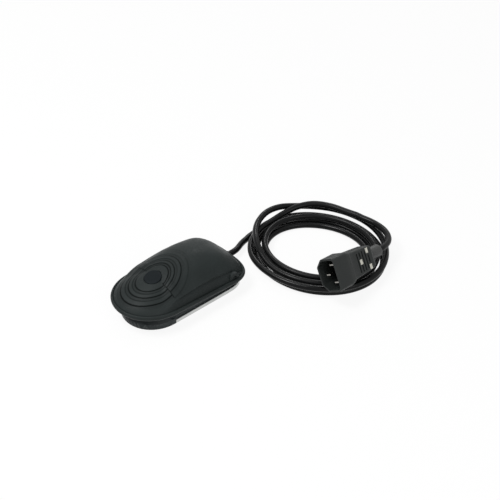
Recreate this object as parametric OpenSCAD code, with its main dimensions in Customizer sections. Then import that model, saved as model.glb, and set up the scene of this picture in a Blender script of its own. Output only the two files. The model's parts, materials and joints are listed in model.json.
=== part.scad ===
// Foot pedal of a sewing machine, with its coiled cord and three-pin plug.
// Millimetres. X is across the pedal, +Y points to the heel, where the cord leaves, and +Z is up.
// The origin is on the floor, under the middle of the pedal. The treadle is drawn released.

/* [Treadle cover] */
// Length over the rim
cover_l = 110.4; // [104:0.2:118]
// Width over the rim
cover_w = 59.6; // [57:0.2:66]
// Height of the crest above the floor
crest_h = 38; // [36:0.5:44]
// Length of the rounded nose
nose_l = 34; // [30:0.5:38]
// Length of the rounded heel
heel_l = 24.4; // [20:0.2:28]
// Height of the rim's underside above the floor, at mid-length
rim_z = 12.2; // [11.8:0.1:14]
// Height of the rim band
rim_h = 4.2; // [3.4:0.1:5]
// Wall of the cover
wall = 2.2; // [1.6:0.1:2.6]
// Slope of the released cover, in degrees
rest_tilt = 2.66; // [2:0.02:3.4]

/* [Grip insert] */
// Diameter of the round insert in the tread
insert_d = 13.6; // [12:0.2:16]
// Thickness of the insert
insert_t = 1.4; // [1:0.1:1.8]
// Distance of the insert's middle in front of the pedal's middle
insert_y = 21.6; // [18:0.2:25]

/* [Base] */
// How far the base stays inside the rim, at the sides
base_in = 5.2; // [4.8:0.1:6]
// How far the base stays inside the rim, at the heel
base_heel_in = 2.6; // [2.4:0.1:3.2]
// How far the base stays inside the rim, at the nose tip
base_nose_in = 7.9; // [6:0.1:9]
// Height of the black nose wall above the floor
nose_wall_h = 6; // [5:0.1:6.6]
// Thickness of the tray's floor
floor_t = 1.6; // [1.4:0.1:2]
// Thickness of the sheet steel of the bottom plate
sheet_t = 1.2; // [0.8:0.1:1.4]
// Height of the bottom plate's folded edge
edge_h = 3; // [2.4:0.1:3.6]
// Thickness of a rubber foot
foot_t = 0.8; // [0.6:0.1:1.2]
// Diameter of a rubber foot
foot_d = 9; // [7:0.5:10]

/* [Pivot] */
// Diameter of the pivot shaft
shaft_d = 4; // [3:0.1:4.6]
// Distance of the pivot behind the pedal's middle
pivot_y = 35.6; // [34:0.2:37]
// Height of the pivot above the floor
pivot_z = 16; // [15:0.1:16.6]
// Angle that the treadle travels, in degrees
travel_deg = 4.5; // [3.5:0.1:4.6]

/* [Springs] */
// Outer diameter of a return spring
spring_d = 7; // [6:0.1:7.6]
// Wire of a return spring
spring_wire = 0.9; // [0.7:0.05:1.1]
// Turns of a return spring
spring_turns = 6; // [5:1:7]
// Distance of a return spring from the middle line
spring_x = 13.5; // [12.6:0.1:14.4]
// Distance of the return springs in front of the middle
spring_y = 14; // [13.6:0.1:15]

/* [Speed sensor] */
// Module of the rack and the pinion
tooth_m = 0.75; // [0.7:0.05:0.8]
// Teeth of the pinion
pinion_teeth = 12; // [12:1:13]
// Width of the rack and the pinion
gear_w = 5.6; // [4.6:0.1:5.8]
// Width of the plunger
plunger_w = 7; // [6.6:0.1:7.4]
// Depth of the plunger behind its teeth
plunger_d = 6.4; // [6:0.1:6.8]
// Height of the plunger's top above the floor
plunger_top = 24; // [23.4:0.1:25]
// Diameter of the potentiometer's can
pot_d = 16; // [14:0.2:16.4]
// Length of the potentiometer's can
pot_l = 7.6; // [6:0.2:8]

/* [Circuit board] */
// Length of the board across the pedal
board_w = 33; // [31:0.5:34]
// Depth of the board
board_d = 12; // [11:0.2:12.4]
// Thickness of the board
board_t = 1.6; // [1:0.1:1.8]

/* [Cord] */
// Diameter of the cord
cord_d = 5; // [4.6:0.1:5.2]
// Mean radius of the centreline of the coil's lower layer, at its outside
coil_r = 52.9; // [51.5:0.2:54.5]
// Turns in the coil's upper layer
coil_top_turns = 2.875; // [1.875:1:2.875]
// Distance from turn to turn
coil_pitch = 6.6; // [6.3:0.1:6.8]

/* [Plug] */
// Long side of the plug's shroud
plug_w = 26.4; // [26:0.1:28.4]
// Short side of the plug's shroud
plug_h = 20.2; // [19.4:0.1:22]
// Length of the shroud
shroud_l = 18.4; // [18:0.2:21]
// Depth of the shroud's cavity
cavity_l = 16; // [15:0.2:17]
// Wall of the shroud
shroud_wall = 1.5; // [1.3:0.1:2]
// Length of the tapered grip behind the shroud
grip_l = 23; // [22:0.5:26]
// Length of the plug's sleeve
sleeve_l = 13.6; // [11.1:0.5:16.1]
// Diameter of the plug's sleeve
sleeve_d = 10.4; // [9.4:0.1:11]

/* [Hidden] */
$fn = 48;

// Clearances
run_gap = 0.05;      // round things that turn or pass in a hole
fit_gap = 0.2;       // flat sides of pieces that slide or nest
seat_gap = 0.3;      // pieces on different bodies that rest on each other
eps = 0.01;

// ---- Outline shared by the cover, the tray and the plate ----
nose_pow = 2.05;
heel_pow = 3;
half_w = cover_w/2;
nose_y = -cover_l/2 + nose_l;
heel_y = cover_l/2 - heel_l;
nose_steps = 12;
side_steps = 7;
heel_steps = 10;
half_n = nose_steps + side_steps + heel_steps;

function arc_pt(hw, len, pow_n, y0, dir, a) =
    [hw*pow(max(sin(a), 0), 2/pow_n), y0 + dir*len*pow(max(cos(a), 0), 2/pow_n)];

// Right half of the outline, from the nose tip to the heel tip, drawn in by three distances
function half_outline(side_in, nose_in, heel_in) = concat(
    [for (i = [0:nose_steps])
        arc_pt(half_w - side_in, nose_l - nose_in, nose_pow, nose_y, -1, 90*i/nose_steps)],
    [for (i = [1:side_steps - 1])
        [half_w - side_in, nose_y + (heel_y - nose_y)*i/side_steps]],
    [for (i = [heel_steps:-1:0])
        arc_pt(half_w - side_in, heel_l - heel_in, heel_pow, heel_y, 1, 90*i/heel_steps)]);

function mirrored(half) =
    concat(half, [for (i = [len(half) - 2:-1:1]) [-half[i][0], half[i][1]]]);

// ---- Cover: a lofted shell ----
rim_slope = tan(rest_tilt);
function rim_bottom(y) = rim_z - rim_slope*y;

spine_nose = -13;    // front end of the crest line
spine_heel = 14;     // rear end of the crest line
spine_top = 13;      // where the crest line is highest
spine_bow = 0.0062;  // how fast it falls off, per mm
function crest(y) = crest_h - spine_bow*pow(y - spine_top, 2);

// Rim band and the groove above it: distance in from the outline, height above the rim's underside
rim_rows = [[0.9, 0], [0.15, 0.7], [0, rim_h*0.45], [0.2, rim_h - 0.8], [0.9, rim_h - 0.05],
    [1.7, rim_h + 0.05], [2.05, rim_h - 0.5], [2.4, rim_h + 0.1]];
dome_in = 2.4;       // where the dome starts, in from the outline

// Dome: share of the way in to the crest line, and share of the height up to it,
// at the side, at the nose and at the heel
side_rows = [[0.022, 0.15], [0.038, 0.32], [0.053, 0.44], [0.09, 0.475], [0.155, 0.55],
    [0.25, 0.68], [0.4, 0.82], [0.6, 0.92], [0.8, 0.98]];
nose_rows = [[0.015, 0.04], [0.04, 0.1], [0.08, 0.18], [0.139, 0.275], [0.215, 0.375],
    [0.316, 0.49], [0.443, 0.615], [0.608, 0.752], [0.797, 0.875]];
heel_rows = [[0.023, 0.075], [0.052, 0.146], [0.098, 0.25], [0.16, 0.367], [0.247, 0.508],
    [0.361, 0.667], [0.495, 0.8], [0.65, 0.9], [0.82, 0.967]];

nose_fade_y = -14;   // where the dome starts to take on the nose's profile
nose_fade_l = 24;    // over what length it does
heel_fade_y = 8;
heel_fade_l = 48;

function ease(t) = let (u = min(max(t, 0), 1)) u*u*(3 - 2*u);
function nose_share(y) = ease((nose_fade_y - y)/nose_fade_l);
function heel_share(y) = ease((y - heel_fade_y)/heel_fade_l);
function blend_row(k, wn, wh) = side_rows[k]*(1 - wn - wh) + nose_rows[k]*wn + heel_rows[k]*wh;

// One ring of the dome, k rows up, on a cover that is thinner all round by "thin"
function dome_ring(k, thin) =
    let (foot = half_outline(dome_in + thin, dome_in + thin, dome_in + thin),
        outer = half_outline(0, 0, 0))
    [for (i = [0:half_n])
        let (p = foot[i],
            wn = nose_share(outer[i][1]),
            wh = heel_share(outer[i][1]),
            row = blend_row(k, wn, wh),
            c = [0, min(max(p[1], spine_nose), spine_heel)],
            q = p + row[0]*(c - p),
            z0 = rim_bottom(p[1]) + rim_h)
        [q[0], q[1], z0 + row[1]*(crest(c[1]) - thin - z0)]];

function rim_ring(row) =
    [for (p = half_outline(row[0], row[0], row[0])) [p[0], p[1], rim_bottom(p[1]) + row[1]]];

function mirror_ring(half) =
    concat(half, [for (i = [len(half) - 2:-1:1]) [-half[i][0], half[i][1], half[i][2]]]);

ring_n = 2*half_n;

// Walls between consecutive rings of n points each
function loft_faces(rings, n, flip) = [for (r = [0:rings - 2]) for (i = [0:n - 1])
    let (a = r*n + i, b = r*n + (i + 1) % n, c = a + n, d = b + n)
    each flip ? [[a, b, d], [a, d, c]] : [[a, d, b], [a, c, d]]];

// A strip across the last ring, between its right and left halves
function cap_faces(first, n, flip) = [for (i = [0:n/2 - 1])
    let (a = first + i, b = first + i + 1, c = first + (n - i - 1) % n, d = first + (n - i) % n)
    each i == 0 ? [flip ? [a, b, c] : [a, c, b]]
        : i == n/2 - 1 ? [flip ? [a, b, d] : [a, d, b]]
        : flip ? [[a, b, c], [a, c, d]] : [[a, c, b], [a, d, c]]];

function flat(list) = [for (part = list) each part];

inner_rows = [0, 2, 4, 6, 8];
function outer_rings() = concat(
    [for (row = rim_rows) mirror_ring(rim_ring(row))],
    [for (k = [0:len(side_rows) - 1]) mirror_ring(dome_ring(k, 0))]);
function inner_rings(thin, low) = concat(
    [mirror_ring(rim_ring([dome_in + thin - 0.2, low])),
        mirror_ring(rim_ring([dome_in + thin, rim_h]))],
    [for (k = inner_rows) mirror_ring(dome_ring(k, thin))]);

module lofted(rings, flip = false) {
    polyhedron(points = flat(rings),
        faces = concat(loft_faces(len(rings), ring_n, flip),
            cap_faces((len(rings) - 1)*ring_n, ring_n, flip),
            cap_faces(0, ring_n, !flip)));
}

// The space inside the cover, grown into its wall by "into"
module cover_inside(into) {
    lofted(inner_rings(wall - into, 0));
}

module treadle_cover() {
    color([0.17, 0.19, 0.19])
    difference() {
        union() {
            difference() {
                lofted(outer_rings());
                translate([0, 0, -eps]) lofted(inner_rings(wall, 0));
            }
            intersection() {
                cover_inside(wall/2);
                cover_posts();
            }
        }
        for (s = [-1, 1])
            translate([s*(shaft_l/2 + 0.2), pivot_y, pivot_z])
                rotate([0, -s*90, 0])
                    cylinder(r = shaft_d/2 + run_gap, h = shaft_l/2);
        insert_place()
            translate([0, 0, -insert_t - 0.1])
                cylinder(d = insert_d + 2*fit_gap, h = 10);
    }
}

// Bosses that hang from the roof of the cover
ear_x = 14;          // inner face of a pivot ear
ear_t = 4;           // thickness of a pivot ear
ear_r = 6;           // radius of its round top
boss_x = ear_x + ear_t + 1;
boss_d = shaft_d + 5;
shaft_l = 2*(half_w - dome_in - wall - 0.8);
stop_x = 10;
stop_in = 21.2;       // from the nose tip back to a stop
stop_y = -cover_l/2 + stop_in;
stop_d = 5;
stop_bottom = 14;
rest_x = 14;
rest_in = 10.2;       // from the heel tip in to a rest post
rest_post_y = cover_l/2 - rest_in;
rest_d = 5;
rest_bottom = 9.6;
seat_z = 21;         // underside of a spring's upper seat
seat_d = spring_d + 2;
spigot_d = spring_d - 2*spring_wire - 0.5;
push_d = 6;

module cover_posts() {
    for (s = [-1, 1]) {
        translate([s*boss_x, pivot_y, pivot_z])
            rotate([0, s*90, 0])
                cylinder(d = boss_d, h = half_w);
        translate([s*stop_x, stop_y, stop_bottom])
            cylinder(d = stop_d, h = crest_h);
        translate([s*rest_x, rest_post_y, rest_bottom])
            cylinder(d = rest_d, h = crest_h);
        translate([s*spring_x, -spring_y, seat_z])
            cylinder(d = seat_d, h = crest_h);
        translate([s*spring_x, -spring_y, seat_z - 2])
            cylinder(d = spigot_d, h = 3);
    }
    translate([0, plunger_y, plunger_top + seat_gap])
        cylinder(d = push_d, h = crest_h);
}

// ---- Grip insert ----
insert_z = 31.6;     // height of the insert's face, at its middle
insert_tilt = 13;    // slope of the tread there, in degrees
insert_crown = 60;   // radius of its domed face
insert_rise = 0.4;   // height of the dome above the tread

module insert_place() {
    translate([0, -insert_y, insert_z]) rotate([insert_tilt, 0, 0]) children();
}

module tread_insert() {
    color([0.13, 0.15, 0.16])
    insert_place()
        rotate_extrude()
            polygon(concat([[0, -insert_t], [insert_d/2, -insert_t]],
                [for (i = [3:-1:0])
                    let (r = insert_d/2*i/3) [r, insert_rise - r*r/2/insert_crown]]));
}

// ---- Base ----
plate_z = foot_t;                    // underside of the plate and of the nose
floor_z = plate_z + sheet_t;         // underside of the tray's floor
deck_z = floor_z + floor_t;          // top of the tray's floor
tray_wall = 2;
tray_gap = fit_gap;                  // between the tray and the plate's edge
plate_front = nose_y + 1;            // where the nose ends and the plate starts
upstand_in = 3.2;
upstand_h = 9.4;

function base_outline(more) =
    mirrored(half_outline(base_in + more, base_nose_in + more, base_heel_in + more));

module base_prism(more, z0, z1) {
    translate([0, 0, z0]) linear_extrude(z1 - z0) polygon(base_outline(more));
}

module in_front_of(y) {
    intersection() {
        children();
        translate([-cover_w, y - cover_l, -crest_h]) cube([2*cover_w, cover_l, 2*crest_h]);
    }
}

module behind(y) {
    intersection() {
        children();
        translate([-cover_w, y, -crest_h]) cube([2*cover_w, cover_l, 2*crest_h]);
    }
}

// Where things stand on the tray
plate_screw_in = 4.4;                // from the plate's edge in to a screw
plate_screw_x = half_w - base_in - plate_screw_in;
plate_screw_pts = [[plate_screw_x, -6], [plate_screw_x, 18]];
screw_d = 2.4;
screw_head_d = 4.4;
screw_head_h = 1.5;
boss_wall = 1.5;
board_z = deck_z + 4.4;              // underside of the circuit board
board_y = 15.5;                      // front edge of the circuit board
board_screw_x = board_w/2 - 2.6;
board_screw_y = board_y + 9;
bracket_z = deck_z + 2.4;            // underside of the sensor bracket's foot
cord_x = -6.5;
cord_z = 5.6;
clamp_y = 35.2;                      // front face of the cord clamp
clamp_l = 4.4;
clamp_w = 14;
clamp_screw_x = 5.1;
clamp_z = cord_z + 0.3;
gland_y = 40;                        // inner end of the cord's grommet
gland_wall = 3;
gland_w = 9.6;                       // width of the block that holds the grommet
heel_wall_y = cover_l/2 - base_heel_in - sheet_t - tray_gap;
block_back = cover_l/2 - dome_in - wall - 1.2;   // rear face of the gland block
pad_d = 6;
pad_t = 2;
stop_drop = (pivot_y - stop_y)*sin(travel_deg);
pad_top = stop_bottom - stop_drop - stop_d/2*sin(travel_deg) - 0.15;

module boss(x, y, z1, d, hole_d, hole_z) {
    translate([x, y, 0])
        difference() {
            translate([0, 0, deck_z - 0.5]) cylinder(d = d, h = z1 - deck_z + 0.5);
            translate([0, 0, hole_z]) cylinder(d = hole_d, h = z1);
        }
}

screw_hole_d = screw_d + 2*run_gap;

module tray_shell() {
    difference() {
        union() {
            in_front_of(plate_front) base_prism(0, plate_z, nose_wall_h);
            behind(plate_front - 2)
                base_prism(sheet_t + tray_gap, floor_z, nose_wall_h + 0.6);
        }
        base_prism(sheet_t + tray_gap + tray_wall, deck_z, 50);
    }
    // Upstand that keeps dust out
    difference() {
        base_prism(upstand_in, deck_z - 0.5, upstand_h);
        base_prism(upstand_in + 1.4, deck_z - 1, upstand_h + 1);
    }
}

module pivot_ear(s) {
    translate([s*(ear_x + ear_t/2), pivot_y, 0]) {
        translate([-ear_t/2, -ear_r, deck_z - 0.5])
            cube([ear_t, 2*ear_r, pivot_z - deck_z + 0.5]);
        translate([-ear_t/2, 0, pivot_z]) rotate([0, 90, 0]) cylinder(r = ear_r, h = ear_t);
    }
}

module base_tray() {
    color([0.10, 0.11, 0.12])
    difference() {
        union() {
            difference() {
                tray_shell();
                // Channel for the cord, and the opening for its grommet
                translate([cord_x, clamp_y - 4, cord_z])
                    rotate([-90, 0, 0]) cylinder(d = cord_d + 2*fit_gap, h = 30);
                translate([cord_x - flange_r - fit_gap, gland_y - 1, floor_z - 1])
                    cube([2*(flange_r + fit_gap), block_back - gland_wall - gland_y + 1, 20]);
            }
            for (s = [-1, 1]) {
                pivot_ear(s);
                for (p = plate_screw_pts)
                    boss(s*p[0], p[1], deck_z + 4, screw_d + 2*boss_wall, screw_hole_d, 0);
                boss(s*board_screw_x, board_screw_y, board_z, screw_d + 2*boss_wall,
                    screw_hole_d, deck_z);
                boss(cord_x + s*clamp_screw_x, clamp_y + clamp_l/2, clamp_z, clamp_l - 0.4,
                    screw_hole_d, deck_z);
                translate([s*spring_x, -spring_y, deck_z - 0.5])
                    cylinder(d = spigot_d, h = 3.5);
                translate([s*stop_x, stop_y, deck_z - 0.5])
                    cylinder(d = pad_d, h = pad_top - pad_t - deck_z + 0.5);
                translate([s*rest_x, rest_post_y, deck_z - 0.5])
                    cylinder(d = rest_d, h = rest_bottom - seat_gap - deck_z + 0.5);
            }
            for (p = bracket_screw_pts)
                boss(p[0], p[1], bracket_z, 6, screw_hole_d, floor_z + 0.4);
            // Gland wall at the heel
            translate([cord_x - gland_w/2, block_back - gland_wall, deck_z - 0.5])
                cube([gland_w, gland_wall, upstand_h + 1 - deck_z + 0.5]);
        }
        for (s = [-1, 1]) {
            for (p = plate_screw_pts)
                translate([s*p[0], p[1], floor_z - 1])
                    cylinder(d = screw_hole_d, h = 5.6);
            translate([s*(ear_x - 1), pivot_y, pivot_z])
                rotate([0, s*90, 0]) cylinder(r = shaft_d/2 + run_gap, h = ear_t + 2);
        }
        translate([cord_x, block_back - gland_wall - 2, cord_z])
            rotate([-90, 0, 0]) cylinder(r = neck_r + run_gap, h = 10);
    }
}

module bottom_plate() {
    color([0.78, 0.80, 0.80])
    difference() {
        behind(plate_front + tray_gap)
            difference() {
                base_prism(0, plate_z, plate_z + edge_h);
                base_prism(sheet_t, floor_z, plate_z + edge_h + 1);
            }
        for (s = [-1, 1])
            for (p = plate_screw_pts)
                translate([s*p[0], p[1], plate_z - eps])
                    cylinder(d1 = screw_head_d + 0.2, d2 = screw_hole_d, h = sheet_t + 2*eps);
        translate([cord_x, heel_wall_y - 4, cord_z])
            rotate([-90, 0, 0]) cylinder(r = collar_r + fit_gap, h = 12);
    }
}

nose_foot_in = [15.8, 22.2];          // from the cover's side and nose in to a foot
heel_foot_in = [12.8, 17.2];          // from the cover's side and heel in to a foot
foot_pts = [[half_w - nose_foot_in[0], -cover_l/2 + nose_foot_in[1]],
    [half_w - heel_foot_in[0], cover_l/2 - heel_foot_in[1]]];

module rubber_feet() {
    color([0.07, 0.07, 0.07])
    for (s = [-1, 1])
        for (p = foot_pts)
            translate([s*p[0], p[1], 0]) cylinder(d = foot_d, h = foot_t);
}

module plate_screws() {
    color([0.62, 0.63, 0.64])
    for (s = [-1, 1])
        for (p = plate_screw_pts)
            translate([s*p[0], p[1], plate_z + 0.05])
                difference() {
                    union() {
                        cylinder(d1 = screw_head_d, d2 = screw_d, h = sheet_t);
                        cylinder(d = screw_d, h = sheet_t + floor_t + 2.6);
                    }
                    cross_slot(0);
                }
}

// Cross recess of a screw, cut upwards from z
module cross_slot(z) {
    for (a = [0, 90])
        rotate([0, 0, a]) translate([-1.2, -0.25, z - 1]) cube([2.4, 0.5, 1.6]);
}

// A pan-head screw standing head up, its head resting on z = 0
module pan_screw(shank) {
    difference() {
        union() {
            cylinder(d = screw_head_d, h = screw_head_h*0.6);
            translate([0, 0, screw_head_h*0.6])
                cylinder(d1 = screw_head_d, d2 = screw_head_d*0.6, h = screw_head_h*0.4);
            translate([0, 0, -shank]) cylinder(d = screw_d, h = shank + 0.1);
        }
        translate([0, 0, screw_head_h]) rotate([180, 0, 0]) cross_slot(0.2);
    }
}

// ---- Pivot ----
clip_t = 1;
clip_d = shaft_d + 4;

module pivot_shaft() {
    color([0.66, 0.67, 0.68])
    translate([-shaft_l/2, pivot_y, pivot_z])
        rotate([0, 90, 0]) cylinder(d = shaft_d, h = shaft_l);
}

module shaft_clips() {
    color([0.30, 0.31, 0.33])
    for (s = [-1, 1])
        translate([s*(ear_x - seat_gap), pivot_y, pivot_z])
            rotate([0, -s*90, 0])
                difference() {
                    cylinder(d = clip_d, h = clip_t);
                    translate([0, 0, -1])
                        cylinder(r = shaft_d/2 + run_gap, h = clip_t + 2);
                }
}

// ---- Swept tubes ----
function unit(v) = v/norm(v);
function tangent(path, i) = unit(path[min(i + 1, len(path) - 1)] - path[max(i - 1, 0)]);
function ring_about(p, t, r, sides) =
    let (x = unit(cross(t, [0, 0, 1])), y = cross(x, t))
    [for (k = [0:sides - 1]) let (a = 360*(k + 0.5)/sides) p + r*(cos(a)*x + sin(a)*y)];

module tube(path, r, sides) {
    n = len(path);
    polyhedron(
        points = flat([for (i = [0:n - 1]) ring_about(path[i], tangent(path, i), r, sides)]),
        faces = concat(
            [for (i = [0:n - 2]) for (k = [0:sides - 1])
                let (a = i*sides + k, b = i*sides + (k + 1) % sides)
                each [[a, b, b + sides], [a, b + sides, a + sides]]],
            [for (k = [1:sides - 2]) [0, k + 1, k]],
            [for (k = [1:sides - 2])
                let (e = (n - 1)*sides) [e, e + k, e + k + 1]]));
}

// A compression spring standing on z = 0: flat end turns and open turns between them
module coil_spring(d, wire, height, turns) {
    per_turn = 12;
    r = (d - wire)/2;
    n = turns*per_turn;
    function rise(t) = t < 1 ? 0 : t > turns - 1 ? 1 : (t - 1)/(turns - 2);
    lift = height - wire - 2*(wire + 0.05);
    path = [for (i = [0:n])
        let (t = i/per_turn, e = min(t, 1) + max(t - turns + 1, 0))
        [r*cos(360*t), r*sin(360*t), wire/2 + (wire + 0.05)*e + lift*rise(t)]];
    tube(path, wire/2, 6);
}

module return_springs() {
    color([0.70, 0.71, 0.72])
    for (s = [-1, 1])
        translate([s*spring_x, -spring_y, deck_z])
            coil_spring(spring_d, spring_wire, seat_z - deck_z, spring_turns);
}

module stop_pads() {
    color([0.08, 0.08, 0.08])
    for (s = [-1, 1])
        translate([s*stop_x, stop_y, pad_top - pad_t]) cylinder(d = pad_d, h = pad_t);
}

// ---- Speed sensor: plunger with rack, pinion, potentiometer ----
pitch_r = tooth_m*pinion_teeth/2;
tooth_pitch = PI*tooth_m;
pressure = 20;
backlash = 0.12;
rack_y = 0;                           // pitch line of the rack
pinion_y = rack_y + pitch_r;
foot_top = bracket_z + 2;
pinion_z = foot_top + pot_d/2 + 0.5;
dedendum = 1.25*tooth_m;
addendum = 0.9*tooth_m;
plunger_y = rack_y - dedendum - plunger_d/2;
plunger_drop = (pivot_y - plunger_y)*travel_deg*PI/180;
plunger_bottom = foot_top + plunger_drop + 0.6;
plunger_bore_d = 4.4;
plunger_spring_d = 3.8;
plunger_spring_wire = 0.5;
bore_top = plunger_bottom + 8;

function invol(r_base, r) = let (a = acos(min(r_base/r, 1))) tan(a)*180/PI - a;

// Half thickness of a pinion tooth at radius r, as an angle
function half_tooth(r) =
    let (rb = pitch_r*cos(pressure))
    90/pinion_teeth - backlash/4/pitch_r*180/PI + invol(rb, pitch_r) - invol(rb, max(r, rb));

module pinion_shape() {
    r_root = pitch_r - dedendum;
    r_tip = pitch_r + addendum;
    radii = [for (i = [0:5]) max(r_root, pitch_r*cos(pressure))
        + (r_tip - max(r_root, pitch_r*cos(pressure)))*i/5];
    polygon(flat([for (k = [0:pinion_teeth - 1])
        let (mid = 360*k/pinion_teeth)
        concat(
            [[r_root*cos(mid - half_tooth(radii[0])), r_root*sin(mid - half_tooth(radii[0]))]],
            [for (r = radii) [r*cos(mid - half_tooth(r)), r*sin(mid - half_tooth(r))]],
            [for (i = [5:-1:0])
                let (r = radii[i]) [r*cos(mid + half_tooth(r)), r*sin(mid + half_tooth(r))]],
            [[r_root*cos(mid + half_tooth(radii[0])), r_root*sin(mid + half_tooth(radii[0]))]]
        )]));
}

// The potentiometer's shaft lies along X; the pinion has a tooth gap towards the rack at rest
module drive_pinion() {
    color([0.85, 0.84, 0.78])
    translate([-gear_w/2, pinion_y, pinion_z])
        rotate([0, 90, 0])
            rotate([0, 0, 90 + 180/pinion_teeth])
                difference() {
                    linear_extrude(gear_w) pinion_shape();
                    translate([0, 0, -1]) cylinder(r = pot_shaft_d/2 + run_gap, h = gear_w + 2);
                }
}

rack_teeth = 4;
module rack_plunger() {
    rack_len = plunger_top - 1.6 - plunger_bottom;
    color([0.85, 0.84, 0.78])
    difference() {
        union() {
            translate([-plunger_w/2, rack_y - dedendum - plunger_d, plunger_bottom])
                cube([plunger_w, plunger_d, rack_len]);
            intersection() {
                translate([-plunger_w/2, rack_y - dedendum - plunger_d, plunger_top - 1.7])
                    cube([plunger_w, plunger_d, 1.7]);
                translate([0, plunger_y, plunger_top - 12])
                    rotate([0, 90, 0]) cylinder(r = 12, h = 20, center = true, $fn = 96);
            }
            for (k = [0:rack_teeth - 1])
                rack_tooth(pinion_z + (k - 1)*tooth_pitch);
        }
        translate([0, plunger_y, plunger_bottom - 1])
            cylinder(d = plunger_bore_d, h = bore_top - plunger_bottom + 1);
    }
}

// One tooth of the rack, its middle at height z
module rack_tooth(z) {
    at_pitch = tooth_pitch/4 - backlash/4;
    root = at_pitch + dedendum*tan(pressure);
    tip = at_pitch - addendum*tan(pressure);
    translate([-gear_w/2, rack_y, z])
        rotate([90, 0, 90])
            linear_extrude(gear_w)
                polygon([[-dedendum - 0.1, -root], [addendum, -tip], [addendum, tip],
                    [-dedendum - 0.1, root]]);
}

module plunger_spring() {
    color([0.70, 0.71, 0.72])
    translate([0, plunger_y, foot_top])
        coil_spring(plunger_spring_d, plunger_spring_wire, bore_top - foot_top, 6);
}

pot_shaft_d = 4;
pot_wall_x = 5.4;                     // inner face of the bracket's upright
pot_wall_t = 2;
pot_x = pot_wall_x + pot_wall_t;      // front of the potentiometer's can
bushing_d = 7;
bushing_l = pot_wall_t + 1.2;
nut_d = 9;
nut_t = 1;
bracket_screw_pts = [[-9.4, 9.5], [1.5, 10.8]];
guide_t = 2;
guide_x = plunger_w/2 + fit_gap;
guide_top = 20.5;
guide_front = rack_y - dedendum - plunger_d - fit_gap;
bracket_left = 12.4;                  // how far the bracket's foot reaches to the left
bracket_back = 14;                    // and to the back
upright_d = pot_d;                    // depth of the upright that holds the potentiometer
upright_top = pinion_z + bushing_d/2 + 3;

module sensor_bracket() {
    color([0.16, 0.17, 0.18])
    difference() {
        union() {
            translate([-bracket_left, guide_front - guide_t, bracket_z])
                cube([bracket_left + pot_x, bracket_back - guide_front + guide_t,
                    foot_top - bracket_z]);
            translate([pot_wall_x, pinion_y - upright_d/2, bracket_z])
                cube([pot_wall_t, upright_d, upright_top - bracket_z]);
            for (s = [-1, 1])
                translate([s > 0 ? guide_x : -guide_x - guide_t, guide_front - guide_t, bracket_z])
                    cube([s > 0 ? pot_x - guide_x : guide_t, guide_t - guide_front - 1.4,
                        guide_top - bracket_z]);
            translate([-guide_x - 1, guide_front - guide_t, bracket_z])
                cube([2*guide_x + 2, guide_t, guide_top - bracket_z]);
        }
        translate([pot_wall_x - 1, pinion_y, pinion_z])
            rotate([0, 90, 0]) cylinder(r = bushing_d/2 + run_gap, h = pot_wall_t + 2);
        for (p = bracket_screw_pts)
            translate([p[0], p[1], bracket_z - 1]) cylinder(d = screw_hole_d, h = 6);
    }
}

module bracket_screws() {
    color([0.62, 0.63, 0.64])
    for (p = bracket_screw_pts)
        translate([p[0], p[1], foot_top]) pan_screw(foot_top - deck_z - 0.2);
}

tab_w = 1.2;
tab_pitch = 2.4;
module potentiometer() {
    color([0.55, 0.53, 0.46])
    difference() {
        union() {
            translate([pot_x, pinion_y, pinion_z])
                rotate([0, 90, 0]) cylinder(d = pot_d, h = pot_l);
            translate([pot_x - bushing_l, pinion_y, pinion_z])
                rotate([0, 90, 0]) cylinder(d = bushing_d, h = bushing_l + 1);
            for (k = [-1:1])
                translate([pot_x + pot_l/2 - tab_w/2 + k*tab_pitch, pinion_y, board_z + board_t])
                    cube([tab_w, board_y + 2.2 - pinion_y, 0.4]);
        }
        translate([pot_x - bushing_l - 1, pinion_y, pinion_z])
            rotate([0, 90, 0])
                cylinder(r = pot_shaft_d/2 + run_gap, h = bushing_l + pot_l - 1);
    }
}

module potentiometer_shaft() {
    color([0.66, 0.67, 0.68])
    translate([-gear_w/2 - 0.6, pinion_y, pinion_z])
        rotate([0, 90, 0])
            cylinder(d = pot_shaft_d, h = pot_x + pot_l - 2.4 + gear_w/2 + 0.6);
}

module potentiometer_nut() {
    color([0.70, 0.71, 0.72])
    translate([pot_wall_x - nut_t, pinion_y, pinion_z])
        rotate([0, 90, 0])
            difference() {
                cylinder(d = nut_d, h = nut_t, $fn = 6);
                translate([0, 0, -1]) cylinder(r = bushing_d/2 + run_gap, h = nut_t + 2);
            }
}

// ---- Circuit board ----
board_top = board_z + board_t;
block_w = 15;
block_d = 8;
block_h = 8.4;
block_x = -4;                         // middle of the terminal block
block_y = board_y + board_d - block_d - 0.6;
wire_d = 1.4;
wire_pitch = 5;
wire_z = board_top + 3.4;
part_gap = 1.1;                       // between the terminal block and the block-shaped capacitor
capacitor = [6.6, 4, 6];
resistor_d = 2.2;
resistor_l = 5;

module circuit_board() {
    color([0.10, 0.32, 0.20])
    difference() {
        translate([-board_w/2, board_y, board_z]) cube([board_w, board_d, board_t]);
        for (s = [-1, 1])
            translate([s*board_screw_x, board_screw_y, board_z - 1])
                cylinder(d = screw_hole_d, h = board_t + 2);
    }
}

module board_screws() {
    color([0.62, 0.63, 0.64])
    for (s = [-1, 1])
        translate([s*board_screw_x, board_screw_y, board_top])
            pan_screw(board_t + board_z - deck_z - 0.4);
}

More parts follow.
